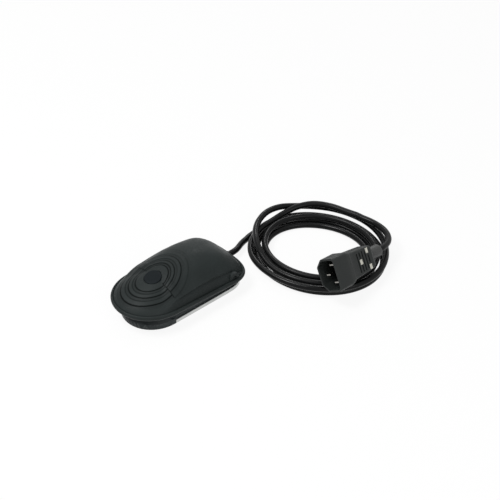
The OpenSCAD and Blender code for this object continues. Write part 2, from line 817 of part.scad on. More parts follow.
module terminal_block() {
    color([0.16, 0.36, 0.28])
    difference() {
        translate([block_x - block_w/2, block_y, board_top]) cube([block_w, block_d, block_h]);
        for (k = [-1:1]) {
            translate([block_x + k*wire_pitch, block_y + block_d + 1, wire_z])
                rotate([90, 0, 0]) cylinder(d = wire_d + 0.6, h = 5);
            translate([block_x + k*wire_pitch, block_y + block_d/2, board_top + block_h - 1.2])
                cylinder(d = 3, h = 2);
        }
    }
}

module board_parts() {
    color([0.70, 0.30, 0.12])
    translate([block_x + block_w/2 + part_gap, board_y + capacitor[1], board_top]) cube(capacitor);
    color([0.76, 0.68, 0.52])
    for (k = [0:1])
        translate([-board_w/2 + 1 + 1.2*resistor_d*k, board_y + 0.8, board_top + resistor_d/2])
            rotate([-90, 0, 0]) cylinder(d = resistor_d, h = resistor_l);
}

jacket_end = 32;    // inner end of the cord's jacket
module conductors() {
    color([0.45, 0.30, 0.18])
    for (k = [-1:1]) {
        x0 = cord_x + k*1.6;
        x1 = block_x + k*wire_pitch;
        y1 = block_y + block_d;
        tube([[x0, jacket_end, cord_z], [x0, jacket_end - 1.4, cord_z],
            [(2*x0 + x1)/3, jacket_end - 3, cord_z + 1.6],
            [(x0 + 2*x1)/3, y1 + 2.8, wire_z - 2], [x1, y1 + 1.4, wire_z],
            [x1, y1 - 3, wire_z]], wire_d/2, 8);
    }
}

// ---- Cord inside the pedal ----
cord_r = cord_d/2;
grommet_end = 60;
flange_r = 3.5;
neck_r = 3;
collar_r = 3.7;
collar_l = 1.3;
tip_r = 2.9;

module cord_grommet() {
    bore = cord_r + run_gap;
    block_in = block_back - gland_wall - gland_y;
    wall_out = heel_wall_y - gland_y;
    tip = grommet_end - gland_y;
    color([0.05, 0.05, 0.05])
    translate([cord_x, gland_y, cord_z])
        rotate([-90, 0, 0])
            rotate_extrude()
                polygon([[bore, 0], [tip_r, 0], [neck_r, block_in - 1.6],
                    [flange_r, block_in - 1.6], [flange_r, block_in], [neck_r, block_in],
                    [neck_r, wall_out], [collar_r, wall_out], [collar_r, wall_out + collar_l],
                    [tip_r, tip - 0.4], [tip_r - 0.3, tip], [bore, tip]]);
}

module cord_inlet() {
    color([0.06, 0.06, 0.06])
    translate([cord_x, jacket_end, cord_z])
        rotate([-90, 0, 0]) cylinder(d = cord_d, h = grommet_end - jacket_end);
}

module cord_clamp() {
    color([0.20, 0.21, 0.22])
    difference() {
        translate([cord_x - clamp_w/2, clamp_y, clamp_z])
            cube([clamp_w, clamp_l, cord_r + 1.6]);
        translate([cord_x, clamp_y - 1, cord_z])
            rotate([-90, 0, 0]) cylinder(r = cord_r + run_gap, h = clamp_l + 2);
        for (s = [-1, 1])
            translate([cord_x + s*clamp_screw_x, clamp_y + clamp_l/2, 0])
                cylinder(d = screw_hole_d, h = 20);
    }
}

module clamp_screws() {
    color([0.62, 0.63, 0.64])
    for (s = [-1, 1])
        translate([cord_x + s*clamp_screw_x, clamp_y + clamp_l/2, clamp_z + cord_r + 1.6])
            pan_screw(5.6);
}

// ---- Free cord ----
coil_c = [37, 114.9];
coil_shift = [-0.2, 1.2];              // how far the upper layer lies beside the lower one
coil_oval = 3.4;                      // how much longer than the mean the oval's long radius is
coil_turned = 17.6;                   // angle of the oval's long axis
coil_start = 180;                     // angle where the first turn starts; turns run clockwise
coil_low_turns = coil_top_turns - 0.5;
coil_turns = coil_low_turns + coil_top_turns;
layer_h = cord_d + 0.6;                // from a cord's middle to that of one on top of it
layer_z = [cord_d/2 + 0.1, cord_d/2 + 0.1 + layer_h];
rings_per_turn = 24;
cord_sides = 8;
coil_sides = 6;

// A smooth step up and down again, each w turns long
function swell(t, from, to, w) = ease((t - from)/w)*ease((to - t)/w);

// The last two turns lie loose. The first of them swells outwards, and the last one slips in under it,
// comes up inside it and passes back over it. Where the first has swelled it sags beside the layer below.
// Their places are in turns before the coil's end
swell_out = 6.6;
sag = 1.4;
slip_in = 7.7;
slip_back = 3.8;
function stray(t) =
    let (e = t - coil_turns)
    swell_out*swell(e, -1.36, -0.78, 0.22) - slip_in*ease((e + 0.4)/0.2)
        + slip_back*swell(e, -0.21, 0.05, 0.13);
function lift(t) =
    let (e = t - coil_turns)
    (layer_h - 0.1)*swell(e, -1.45, -1.09, 0.12) - sag*swell(e, -1.11, -0.76, 0.15)
        + (layer_h - 0.2)*ease((e + 0.21)/0.13);

// The radius falls from the outside to the inside at a steady rate, and grows again
function turn_radius(t) = coil_r - coil_pitch*(coil_low_turns - abs(t - coil_low_turns)) + stray(t);
// The climb from the lower to the upper layer takes the half turn where the spiral reverses
function climb(t) = ease((t - coil_low_turns)/0.5 + 0.5);
function coil_pt(t) =
    let (a = coil_start - 360*t,
        r = turn_radius(t),
        u = (r + coil_oval)*cos(a),
        v = (r - coil_oval)*sin(a),
        c = coil_c + climb(t)*coil_shift)
    [c[0] + u*cos(coil_turned) - v*sin(coil_turned),
        c[1] + u*sin(coil_turned) + v*cos(coil_turned),
        layer_z[0] + layer_h*climb(t) + lift(t)];

coil_steps = round(coil_turns*rings_per_turn);
coil_turn_pts = [for (i = [0:coil_steps]) coil_pt(i*coil_turns/coil_steps)];
// Straight ends, one diameter long
coil_head = unit(coil_turn_pts[0] - coil_turn_pts[1]);
coil_tail = unit(coil_turn_pts[coil_steps] - coil_turn_pts[coil_steps - 1]);
coil_in = coil_turn_pts[0] + cord_d*coil_head;
coil_out = coil_turn_pts[coil_steps] + cord_d*coil_tail;
coil_path = concat([coil_in], coil_turn_pts, [coil_out]);

// Least gap between turns that lie beside or on each other
coil_least_gap = min([for (i = [0:coil_steps]) for (j = [i + rings_per_turn/2:1:coil_steps])
    norm(coil_turn_pts[i] - coil_turn_pts[j]) - cord_d]);
echo(coil_least_gap = coil_least_gap);

lead_route = [[-6.5, 60, 5.6], [-6.5, 64.5, 5.6], [-7.5, 69, 5.3], [-9.5, 73.2, 4.7],
    [-11.6, 77.2, 3.9], [-13.3, 81.2, 3.1], [-14.4, 85.2, 2.7]];
tail_route = [[37.6, 164.2, 13.6], [45, 165.9, 13.6], [52.5, 166.6, 13.6], [59.8, 165.9, 13.7],
    [66.4, 163.3, 14], [71.9, 158.9, 14.7], [75.7, 153.2, 15.7]];

module cord_lead() {
    color([0.05, 0.05, 0.05])
    tube(concat(lead_route, [coil_in + cord_d*coil_head, coil_in]), cord_r, cord_sides);
}

module cord_coil() {
    color([0.05, 0.05, 0.05]) tube(coil_path, cord_r, coil_sides);
}

module cord_tail() {
    color([0.05, 0.05, 0.05])
    tube(concat([coil_out, coil_out + cord_d*coil_tail], tail_route,
        [sleeve_point(cord_d), sleeve_point(0)]), cord_r, cord_sides);
}

// ---- Plug ----
// In its own frame, X is the long side, Z the short side, and Y runs from the open face to the cord
plug_at = [82, 82.6, 25.8];               // middle of the open face
plug_roll = 57.2;
plug_pitch = -7.7;
plug_yaw = 3.2;
chamfer = 6;
shroud_r = 3;                         // rounding of the shroud's corners
shoulder_l = 3;
plug_len = shroud_l + grip_l + shoulder_l;

module plug_place() {
    translate(plug_at) rotate([0, 0, plug_yaw]) rotate([plug_pitch, 0, 0]) rotate([0, plug_roll, 0])
        children();
}

// A point behind the plug's sleeve, on the plug's axis
function sleeve_point(beyond) =
    let (l = plug_len + sleeve_l + beyond)
    plug_at + l*[-sin(plug_yaw)*cos(plug_pitch), cos(plug_yaw)*cos(plug_pitch), sin(plug_pitch)];

function bearing(v) = atan2(v[1], v[0]);

// Convex outline with each corner turned into an arc of k steps
function rounded(pts, r, k) = flat([for (i = [0:len(pts) - 1])
    let (p = pts[i],
        a = unit(pts[(i + len(pts) - 1) % len(pts)] - p),
        b = unit(pts[(i + 1) % len(pts)] - p),
        half = acos(a*b)/2,
        c = p + unit(a + b)*r/sin(half),
        from = bearing(p + a*r/tan(half) - c),
        to = bearing(p + b*r/tan(half) - c),
        turn = to - from > 180 ? to - from - 360 : to - from < -180 ? to - from + 360 : to - from)
    [for (j = [0:k]) c + r*[cos(from + turn*j/k), sin(from + turn*j/k)]]]);

// Outline across the plug: the two corners on the earth pin's side are cut off by c
function plug_outline(w, h, c, r) =
    let (x = w/2, z = h/2)
    rounded([[-x, z], [-x, -z + c], [-x + c, -z], [x - c, -z], [x, -z + c], [x, z]], r, 3);

grip_w = plug_w - 4.4;
grip_h = plug_h - 2.6;
grip_end_w = 18.4;
shroud_slope = 5;                     // length of the shroud's sloping back

// Outlines along the outside of the plug: place, width, height, cut-off, rounding
plug_rows = [
    [0, plug_w, plug_h, chamfer, shroud_r],
    [shroud_l - shroud_slope, plug_w, plug_h, chamfer, shroud_r],
    [shroud_l, plug_w - 3.4, plug_h - 1.2, chamfer - 1, shroud_r - 0.6],
    [shroud_l + 0.6, grip_w, grip_h, chamfer - 1.4, shroud_r - 1],
    [shroud_l + grip_l, grip_end_w, grip_h, chamfer - 1.4, shroud_r - 1],
    [plug_len, grip_end_w - 7, 0.72*grip_h, chamfer - 2.4, shroud_r - 1.4]];

module along_plug(y0, l, outline) {
    // Turns an extrusion so that it runs along +Y, from y0
    translate([0, y0 + l, 0]) rotate([90, 0, 0]) linear_extrude(l) polygon(outline);
}

module plug_body() {
    rings = [for (row = plug_rows) [for (p = plug_outline(row[1], row[2], row[3], row[4]))
        [p[0], row[0], p[1]]]];
    n = len(rings[0]);
    last = len(rings) - 1;
    polyhedron(points = flat(rings),
        faces = concat(loft_faces(len(rings), n, true),
            [[for (k = [n - 1:-1:0]) k]],
            [[for (k = [0:n - 1]) last*n + k]]));
}

window_pts = [[-6.5, 37.5], [0, 29], [6.5, 37.5]];
window_w = 4;
window_l = 2.6;
core_w = 17;
core_h = 9;
core_y = 21.5;
core_l = 19;
slot_l = [15.6, 15.6, 15.6, 13.8, 6.6];    // grip slots on each side, from the shroud on
slot_pitch = 2.95;
slot_w = 1.1;

module plug_shell() {
    color([0.16, 0.17, 0.17])
    plug_place()
        difference() {
            plug_body();
            along_plug(-1, cavity_l + 1, plug_outline(plug_w - 2*shroud_wall, plug_h - 2*shroud_wall,
                chamfer - 0.8*shroud_wall, shroud_r - 1));
            translate([-core_w/2 - 0.1, core_y - 0.1, -core_h/2 - 0.1])
                cube([core_w + 0.2, core_l + 0.2, core_h + 0.2]);
            for (p = window_pts)
                translate([p[0] - window_w/2 - 0.1, p[1] - window_l/2 - 0.1, 0])
                    cube([window_w + 0.2, window_l + 0.2, 20]);
            for (x = [-1, 1]) pin_box(x*7, 2, 0.05);
            pin_box(0, -2, 0.05);
            for (k = [0:len(slot_l) - 1])
                for (s = [-1, 1])
                    translate([-slot_l[k]/2, shroud_l + 7 + k*slot_pitch, s*grip_h/2 - 1])
                        cube([slot_l[k], slot_w, 2]);
            // Seat of the sleeve
            translate([0, plug_len - 4, 0])
                rotate([-90, 0, 0]) cylinder(d = sleeve_d - 3 + 2*run_gap, h = 5);
        }
}

pin_w = 2;
pin_h = 4;
pin_front = 4.4;      // how far the pin tips stay behind the open face
earth_front = 2.4;    // the same for the middle pin, which meets its contact first
pin_back = 20;
module pin_box(x, z, grow) {
    translate([x - pin_w/2 - grow, cavity_l - 1, z - pin_h/2 - grow])
        cube([pin_w + 2*grow, pin_back - cavity_l + 1 + grow, pin_h + 2*grow]);
}

module pin(x, z, front) {
    translate([x, 0, z - pin_h/2])
        linear_extrude(pin_h)
            polygon([[-pin_w/4, front], [pin_w/4, front], [pin_w/2, front + 1],
                [pin_w/2, pin_back], [-pin_w/2, pin_back], [-pin_w/2, front + 1]]);
}

module plug_pins() {
    color([0.80, 0.79, 0.72])
    plug_place() {
        for (x = [-1, 1]) pin(x*7, 2, pin_front);
        pin(0, -2, earth_front);
    }
}

module plug_core() {
    color([0.82, 0.80, 0.72])
    plug_place()
        union() {
            translate([-core_w/2, core_y, -core_h/2]) cube([core_w, core_l, core_h]);
            for (p = window_pts)
                translate([p[0] - window_w/2, p[1] - window_l/2, core_h/2 - 1])
                    cube([window_w, window_l, grip_h/2 - core_h/2 + 0.9]);
        }
}

module plug_sleeve() {
    color([0.10, 0.10, 0.10])
    plug_place()
        translate([0, plug_len - 3.6, 0])
            rotate([-90, 0, 0])
                rotate_extrude()
                    polygon([[cord_r + run_gap, 0], [sleeve_d/2 - 1.5, 0], [sleeve_d/2 - 1.5, 3.7],
                        [sleeve_d/2, 3.7], [sleeve_d/2, 3.6 + sleeve_l - 1.2],
                        [sleeve_d/2 - 0.9, 3.6 + sleeve_l], [cord_r + run_gap, 3.6 + sleeve_l]]);
}

treadle_cover();
tread_insert();
base_tray();
bottom_plate();
rubber_feet();
plate_screws();
pivot_shaft();
shaft_clips();
return_springs();
stop_pads();
rack_plunger();
plunger_spring();
drive_pinion();
sensor_bracket();
bracket_screws();
potentiometer();
potentiometer_shaft();
potentiometer_nut();
circuit_board();
board_screws();
terminal_block();
board_parts();
conductors();
cord_clamp();
clamp_screws();
cord_grommet();
cord_inlet();
cord_lead();
cord_coil();
cord_tail();
plug_shell();
plug_core();
plug_pins();
plug_sleeve();
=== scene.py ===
"""Foot pedal of a sewing machine with its coiled cord and three-pin plug: the looks around its frame."""
import json
import math

import bmesh
import bpy
import numpy as np
from mathutils import Matrix, Vector


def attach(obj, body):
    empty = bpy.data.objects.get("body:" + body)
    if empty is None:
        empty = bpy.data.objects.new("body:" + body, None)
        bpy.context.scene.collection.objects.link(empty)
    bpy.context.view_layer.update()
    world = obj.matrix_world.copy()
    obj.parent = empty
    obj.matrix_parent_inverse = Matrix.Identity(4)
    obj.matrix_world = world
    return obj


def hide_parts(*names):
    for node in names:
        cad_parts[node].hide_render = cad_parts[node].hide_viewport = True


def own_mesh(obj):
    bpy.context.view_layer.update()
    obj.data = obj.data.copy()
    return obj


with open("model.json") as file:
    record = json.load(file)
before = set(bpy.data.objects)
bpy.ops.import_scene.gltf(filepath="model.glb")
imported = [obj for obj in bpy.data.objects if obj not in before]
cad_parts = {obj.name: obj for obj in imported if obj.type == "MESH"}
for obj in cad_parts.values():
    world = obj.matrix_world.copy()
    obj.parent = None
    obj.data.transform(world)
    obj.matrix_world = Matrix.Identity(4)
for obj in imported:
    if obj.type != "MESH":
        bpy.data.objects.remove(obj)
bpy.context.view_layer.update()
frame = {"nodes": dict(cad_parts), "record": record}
nodes = frame["nodes"]
MM = 0.001


def v3(*p):
    """A point given in millimetres."""
    return Vector(p)*MM


# ---- camera ----

CAMERA_LENS = 108            # on a 36 mm sensor
CAMERA_FAR = 1.2             # from the point that it looks at, in metres
CAMERA_AZIMUTH = 48.3
CAMERA_ELEVATION = 39.0
LOOK_AT = v3(-4.5, 80.2, 0)


def add_camera():
    a, e = math.radians(CAMERA_AZIMUTH), math.radians(CAMERA_ELEVATION)
    back = Vector((math.sin(a)*math.cos(e), -math.cos(a)*math.cos(e), math.sin(e)))
    data = bpy.data.cameras.new("camera")
    data.lens = CAMERA_LENS
    data.sensor_width = 36
    data.clip_start = 0.05
    data.clip_end = 20
    camera = bpy.data.objects.new("camera", data)
    camera.location = LOOK_AT + back*CAMERA_FAR
    camera.rotation_mode = "QUATERNION"
    camera.rotation_quaternion = (-back).to_track_quat("-Z", "Y")
    bpy.context.scene.collection.objects.link(camera)
    bpy.context.scene.camera = camera


# ---- materials ----

MIX_FIRST, MIX_SECOND, MIX_RESULT = 6, 7, 2      # the Mix node's colour sockets
WHITE = (1, 1, 1, 1)


def fill(tree, node, inputs):
    """Links a node's inputs to sockets or sets them to values, by name or number."""
    for key, value in dict(inputs).items():
        if isinstance(value, bpy.types.NodeSocket):
            tree.links.new(value, node.inputs[key])
        else:
            node.inputs[key].default_value = value
    return node


def add_node(tree, kind, inputs=(), **settings):
    made = tree.nodes.new(kind)
    for key, value in settings.items():
        setattr(made, key, value)
    return fill(tree, made, inputs)


class Shader:
    """Builds one procedural material on Object coordinates (metres)."""

    def __init__(self, name, rough=0.5, metal=0.0, coat=0.0, shine=0.5):
        self.mat = bpy.data.materials.new(name)
        self.mat.use_nodes = True
        self.tree = self.mat.node_tree
        looks = {"Roughness": rough, "Metallic": metal, "Coat Weight": coat, "Specular IOR Level": shine}
        self.face = fill(self.tree, self.tree.nodes["Principled BSDF"], looks)
        self.coords = self.node("TexCoord").outputs["Object"]
        self.normal = None

    def node(self, kind, inputs=(), **settings):
        return add_node(self.tree, "ShaderNode" + kind, inputs, **settings)

    def link(self, a, b):
        self.tree.links.new(a, b)

    def math(self, operation, *values):
        return self.node("Math", dict(enumerate(values)), operation=operation).outputs[0]

    def stretched(self, scale, source=None):
        """The object's coordinates, or others, scaled apart along X, Y and Z."""
        return self.node("Mapping", {"Vector": source or self.coords, "Scale": scale}).outputs["Vector"]

    def noise(self, size, detail=3.0, source=None, distortion=0.0):
        """Noise whose features are about that many metres across."""
        inputs = {"Vector": source or self.coords, "Scale": 1/size, "Detail": detail,
                  "Distortion": distortion}
        return self.node("TexNoise", inputs).outputs["Fac"]

    def cells(self, size):
        """Distance to the nearest point of a random scatter, that far apart."""
        return self.node("TexVoronoi", {"Vector": self.coords, "Scale": 1/size}).outputs["Distance"]

    def ranged(self, value, low, high, to_low, to_high):
        """The value, moved from one range to another and held inside it."""
        inputs = {"Value": value, "From Min": low, "From Max": high, "To Min": to_low, "To Max": to_high}
        return self.node("MapRange", inputs).outputs["Result"]

    def colours(self, value, stops):
        """A colour ramp over the value, of at most 32 stops."""
        ramp = self.node("ValToRGB", {"Fac": value})
        marks = ramp.color_ramp.elements
        for mark, (place, colour) in zip((marks[0], marks[1]), (stops[0], stops[-1])):
            mark.position = place
            mark.color = (*colour, 1)
        for place, colour in stops[1:-1]:
            marks.new(place).color = (*colour, 1)
        return ramp.outputs["Color"]

    def mixed(self, share, colour, other):
        """A colour socket with another colour or socket laid over it by that share."""
        if not isinstance(other, bpy.types.NodeSocket):
            other = (*other, 1)
        inputs = {"Factor": share, MIX_FIRST: colour, MIX_SECOND: other}
        return self.node("Mix", inputs, data_type="RGBA").outputs[MIX_RESULT]

    def paint(self, value, stops):
        self.link(self.colours(value, stops), self.face.inputs["Base Color"])

    def roughness(self, value, low, high):
        self.link(self.ranged(value, 0.3, 0.7, low, high), self.face.inputs["Roughness"])

    def bump(self, value, height):
        """Adds a relief of that height in metres on top of the ones before."""
        below = {"Normal": self.normal} if self.normal else {}
        self.normal = self.node("Bump", {"Height": value, "Distance": height, **below}).outputs["Normal"]
        self.link(self.normal, self.face.inputs["Normal"])


def tinted(colour, share):
    return tuple(min(1.0, c*share) for c in colour)


TONE_PATCH, GLOSS_PATCH, RUB = 0.022, 0.006, 0.0045      # metres across


def moulded(name, colour, rough, grain=0.00022, depth=0.00002, spread=0.12, shine=0.2, wear=0.35, shade=None):
    """Moulded plastic or rubber: a fine spark-eroded grain, uneven gloss and tone, a few paler rubs, and
    painted shade where a shade is given.
    """
    s = Shader(name, rough, shine=shine)
    tone = s.colours(s.noise(TONE_PATCH, 4.0),
                     [(0.3, tinted(colour, 1 - spread)), (0.5, colour), (0.72, tinted(colour, 1 + spread))])
    rubs = s.ranged(s.noise(RUB, 6.0, distortion=0.8), 0.66, 0.78, 0.0, wear)
    worn_and_shaded = s.mixed(rubs, tone, tinted(colour, 1.7))
    if shade:
        # painted shade: where the shade falls, the colour is darkened and the reflection is taken out
        painted_shade = shade(s)
        worn_and_shaded = s.mixed(painted_shade, worn_and_shaded, tinted(colour, 0.1))
        s.link(s.ranged(painted_shade, 0.0, 1.0, shine, 0.0), s.face.inputs["Specular IOR Level"])
    s.link(worn_and_shaded, s.face.inputs["Base Color"])
    s.roughness(s.noise(GLOSS_PATCH, 5.0), rough - 0.05, rough + 0.06)
    s.bump(s.cells(grain), depth)
    s.bump(s.noise(grain*6, 3.0), depth*0.8)
    return s.mat


# Relief on the tread: channels along nested half ovals about the insert, one family on each side of SPLIT_Y.
# Each channel: half width of its oval, width, and how much painted shade its inner and its outer edge take;
# the inner share also sets how deep, and so how steep, the channel is
INSERT_Y, SPLIT_Y = -21.6, -20
NOSE_STRETCH, HEEL_STRETCH = 1.265, 1.222
NOSE_GROOVES = [(12.3, 1.9, 1, 0.6), (16.9, 2.1, 1, 0.6), (22.1, 2.2, 1, 0.15)]
HEEL_GROOVES = [(11.2, 1.7, 1, 0.85), (15.3, 1.8, 0.9, 0.5), (19.9, 2.1, 0.9, 0.2), (24.6, 2.0, 0.35, 0.1)]
GROOVE_DEPTH, WALL_W = 0.22, 0.6
SPLIT_FROM, SPLIT_TO, SPLIT_W = 9.4, 23.2, 0.45      # the line between the families
SPLIT_BLEND = 1.6            # over which one family fades into the other
SPLIT_SHADE, FLOOR_SHADE = 0.65, 0.15      # share of painted shade in that line and on the floor of a channel
CHART = 30                   # reach of the ovals' colour ramps, in millimetres
LINE_W = 0.62                # how far the painted shade in a corner spreads


def grip_shade(s):
    """Share of painted shade in the corners of the tread's channels, on faces that look up."""
    apart = s.node("SeparateXYZ", {"Vector": s.coords})
    x, y = apart.outputs["X"], apart.outputs["Y"]

    def ovals(grooves, stretch):
        shift = s.node("VectorMath", {0: s.coords, 1: (1, 1/stretch, 0), 2: (0, -INSERT_Y*MM/stretch, 0)},
                       operation="MULTIPLY_ADD")
        far = s.node("VectorMath", {0: shift.outputs[0]}, operation="LENGTH")
        stops = [(0.0, 0.0)]
        for radius, wide, inner, outer in grooves:
            edges = ((radius - wide/2, inner, FLOOR_SHADE*inner), (radius + wide/2, outer, 0.0))
            for edge, share, after in edges:
                stops += [(edge - LINE_W, stops[-1][1]), (edge, share), (edge + LINE_W, after)]
        chart = [(place/CHART, (value,)*3) for place, value in stops]
        return s.colours(s.ranged(far.outputs["Value"], 0, CHART*MM, 0, 1), chart)

    heel_side = s.math("GREATER_THAN", y, SPLIT_Y*MM)
    both = s.mixed(heel_side, ovals(NOSE_GROOVES, NOSE_STRETCH), ovals(HEEL_GROOVES, HEEL_STRETCH))
    off = s.math("ABSOLUTE", s.math("SUBTRACT", y, SPLIT_Y*MM))
    near = s.ranged(off, 0.2*MM, 0.6*MM, SPLIT_SHADE, 0.0)
    middle, reach = (SPLIT_FROM + SPLIT_TO)/2*MM, (SPLIT_TO - SPLIT_FROM)/2*MM
    beside = s.math("COMPARE", s.math("ABSOLUTE", x), middle, reach)
    most = s.math("MAXIMUM", both, s.math("MULTIPLY", near, beside))
    facing = s.node("SeparateXYZ", {"Vector": s.node("TexCoord").outputs["Normal"]})
    return s.math("MULTIPLY", most, s.ranged(facing.outputs["Z"], 0.0, 0.2, 0.0, 1.0))


def metal(name, colour, rough, grain=(40, 40, 1200), depth=0.000006):
    """Metal with fine drawn or rolled lines along one direction."""
    s = Shader(name, rough, 1.0)
    lines = s.noise(1.0, 2.0, s.stretched(grain))
    s.paint(s.noise(0.004, 4.0), [(0.3, tinted(colour, 0.82)), (0.7, tinted(colour, 1.06))])
    s.roughness(lines, rough - 0.08, rough + 0.12)
    s.bump(lines, depth)
    return s.mat


COVER_DARK = (0.0180, 0.0222, 0.0220)
INSERT_DARK = (0.0068, 0.0094, 0.0108)
BASE_DARK = (0.0260, 0.0310, 0.0325)
JACKET = (0.0025, 0.0027, 0.0029)
PLUG_DARK = (0.0140, 0.0162, 0.0155)


def cord_jacket(name, colour, rough):
    """Glossy extruded jacket: long faint flow lines along the cord, on its own UV map (metres)."""
    s = Shader(name, rough, shine=0.12)
    along = s.node("UVMap", uv_map="along").outputs["UV"]
    flow = s.noise(1.0, 2.0, s.stretched((12, 260, 1), along))
    s.paint(s.noise(0.02, 3.0), [(0.3, tinted(colour, 0.75)), (0.7, tinted(colour, 1.35))])
    s.roughness(s.noise(0.03, 2.0), rough - 0.04, rough + 0.3)
    s.bump(flow, 0.0000012)
    s.bump(s.noise(0.012, 2.0), 0.00003)
    return s.mat


def sheet_steel(name):
    """Zinc-plated sheet with a faint spangle, rolling lines and a few darker scuffs."""
    colour = (0.52, 0.53, 0.52)
    s = Shader(name, 0.36, 1.0)
    s.paint(s.noise(0.009, 6.0, distortion=0.4),
            [(0.25, tinted(colour, 0.84)), (0.5, colour), (0.75, tinted(colour, 1.05))])
    s.roughness(s.noise(0.003, 5.0), 0.3, 0.46)
    s.bump(s.noise(1.0, 2.0, s.stretched((60, 1400, 60))), 0.000004)
    return s.mat


def circuit_laminate(name):
    """Green coated laminate with the tone of the copper tracks beneath."""
    s = Shader(name, 0.3, coat=0.4)
    tracks = s.node("TexBrick", {"Vector": s.coords, "Scale": 1/0.011, "Mortar Size": 0.06,
                                 "Color1": (0.010, 0.085, 0.035, 1), "Color2": (0.012, 0.100, 0.042, 1),
                                 "Mortar": (0.022, 0.160, 0.060, 1)})
    s.link(tracks.outputs["Color"], s.face.inputs["Base Color"])
    s.bump(tracks.outputs["Fac"], 0.00003)
    return s.mat


MATERIALS = {
    "cover_plastic": moulded("cover_plastic", COVER_DARK, 0.44, shine=0.08, shade=grip_shade),
    "insert_rubber": moulded("insert_rubber", INSERT_DARK, 0.55, grain=0.0003, shine=0.06),
    "base_plastic": moulded("base_plastic", BASE_DARK, 0.38, depth=0.000003, shine=0.16, wear=0.1),
    "plate_steel": sheet_steel("plate_steel"),
    "foot_rubber": moulded("foot_rubber", (0.012, 0.012, 0.012), 0.75, grain=0.0005),
    "screw_steel": metal("screw_steel", (0.62, 0.63, 0.62), 0.32),
    "shaft_steel": metal("shaft_steel", (0.60, 0.61, 0.62), 0.24, grain=(1500, 60, 60)),
    "clip_steel": metal("clip_steel", (0.09, 0.09, 0.10), 0.38),
    "spring_steel": metal("spring_steel", (0.55, 0.56, 0.57), 0.28),
    "acetal": moulded("acetal", (0.70, 0.68, 0.60), 0.38, depth=0.00001, spread=0.05, shine=0.5, wear=0),
    "bracket_plastic": moulded("bracket_plastic", (0.020, 0.022, 0.024), 0.5),
    "pot_metal": metal("pot_metal", (0.42, 0.39, 0.30), 0.4),
    "nut_steel": metal("nut_steel", (0.62, 0.62, 0.60), 0.26),
    "board_green": circuit_laminate("board_green"),
    "block_plastic": moulded("block_plastic", (0.020, 0.110, 0.070), 0.4, shine=0.5),
    "component_case": moulded("component_case", (0.45, 0.17, 0.04), 0.3, shine=0.6, wear=0),
    "wire_insulation": moulded("wire_insulation", (0.16, 0.07, 0.03), 0.35, shine=0.5),
    "clamp_plastic": moulded("clamp_plastic", (0.030, 0.032, 0.034), 0.45),
    "cord_rubber": cord_jacket("cord_rubber", JACKET, 0.16),
    "plug_plastic": moulded("plug_plastic", PLUG_DARK, 0.42, grain=0.0002, shine=0.22),
    "plug_core_plastic": moulded("plug_core_plastic", (0.54, 0.53, 0.465), 0.5, depth=0.00001, spread=0.06,
                                 wear=0),
    # pin metal: the pins' own metal colour, darkened as painted shade for the inside of the plug's shroud
    "pin_metal": metal("pin_metal", (0.30, 0.29, 0.27), 0.2, grain=(300, 40, 300)),
}
SLEEVE_RUBBER = moulded("sleeve_rubber", (0.042, 0.043, 0.042), 0.4, shine=0.3)
RELIEF_RUBBER = moulded("strain_relief_rubber", (0.0125, 0.0130, 0.0135), 0.5, shine=0.25)


def dress_nodes():
    """Gives each CAD node that shows the material of its slot."""
    for row in frame["record"]["subparts"]:
        node = nodes[row["node"]]
        node.data.materials.clear()
        node.data.materials.append(MATERIALS[row["material_slot"]])


# ---- mesh helpers ----

def mesh_object(name, shape, material):
    """An object from a pair of points in millimetres and faces."""
    points, faces = shape
    mesh = bpy.data.meshes.new(name)
    mesh.from_pydata([tuple(c*MM for c in p) for p in points], [], [tuple(f) for f in faces])
    mesh.materials.append(material)
    made = bpy.data.objects.new(name, mesh)
    bpy.context.scene.collection.objects.link(made)
    return made


def finish_piece(made, body, sharp=35):
    """Smooths a piece up to that angle; it rides on a body."""
    made.data.shade_smooth()
    made.data.set_sharp_from_angle(angle=math.radians(sharp))
    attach(made, body)
    return made


def baked(made):
    """Turns an object's modifiers into its mesh."""
    settled = made.evaluated_get(bpy.context.evaluated_depsgraph_get())
    mesh = bpy.data.meshes.new_from_object(settled)
    made.modifiers.clear()
    made.data = mesh
    return made


def loft(rings, close_first=True, close_last=True):
    """Faces between rings of equal length, whose points run anticlockwise seen from the last ring."""
    n = len(rings[0])
    faces = [(r*n + i, r*n + (i + 1) % n, (r + 1)*n + (i + 1) % n, (r + 1)*n + i)
             for r in range(len(rings) - 1) for i in range(n)]
    if close_first:
        faces.append(tuple(range(n - 1, -1, -1)))
    if close_last:
        last = (len(rings) - 1)*n
        faces.append(tuple(range(last, last + n)))
    return [p for ring in rings for p in ring], faces


def turned_outwards(made):
    """Merges the doubles of a closed mesh and points its faces outwards."""
    shape = bmesh.new()
    shape.from_mesh(made.data)
    bmesh.ops.remove_doubles(shape, verts=shape.verts, dist=1e-7)
    bmesh.ops.dissolve_degenerate(shape, edges=shape.edges, dist=1e-8)
    bmesh.ops.recalc_face_normals(shape, faces=shape.faces)
    shape.to_mesh(made.data)
    shape.free()
    return made


def lathe(profile, axis="Z", at=(0, 0, 0), sides=48, ring=False):
    """A profile of (radius, place along the axis) turned about it; a ring's profile closes on itself."""
    order = {"X": (2, 0, 1), "Y": (0, 2, 1), "Z": (0, 1, 2)}[axis]
    rings = []
    for r, h in profile + profile[:1] if ring else profile:
        turn = [(r*math.cos(a), r*math.sin(a), h) for a in (2*math.pi*k/sides for k in range(sides))]
        rings.append([tuple(p[order[k]] + at[k] for k in range(3)) for p in turn])
    return loft(rings, not ring, not ring)


def joined(shapes):
    points, faces = [], []
    for more_points, more_faces in shapes:
        faces += [tuple(len(points) + i for i in face) for face in more_faces]
        points += more_points
    return points, faces


def placed(shape, matrix):
    return [tuple(matrix @ Vector(p)) for p in shape[0]], shape[1]


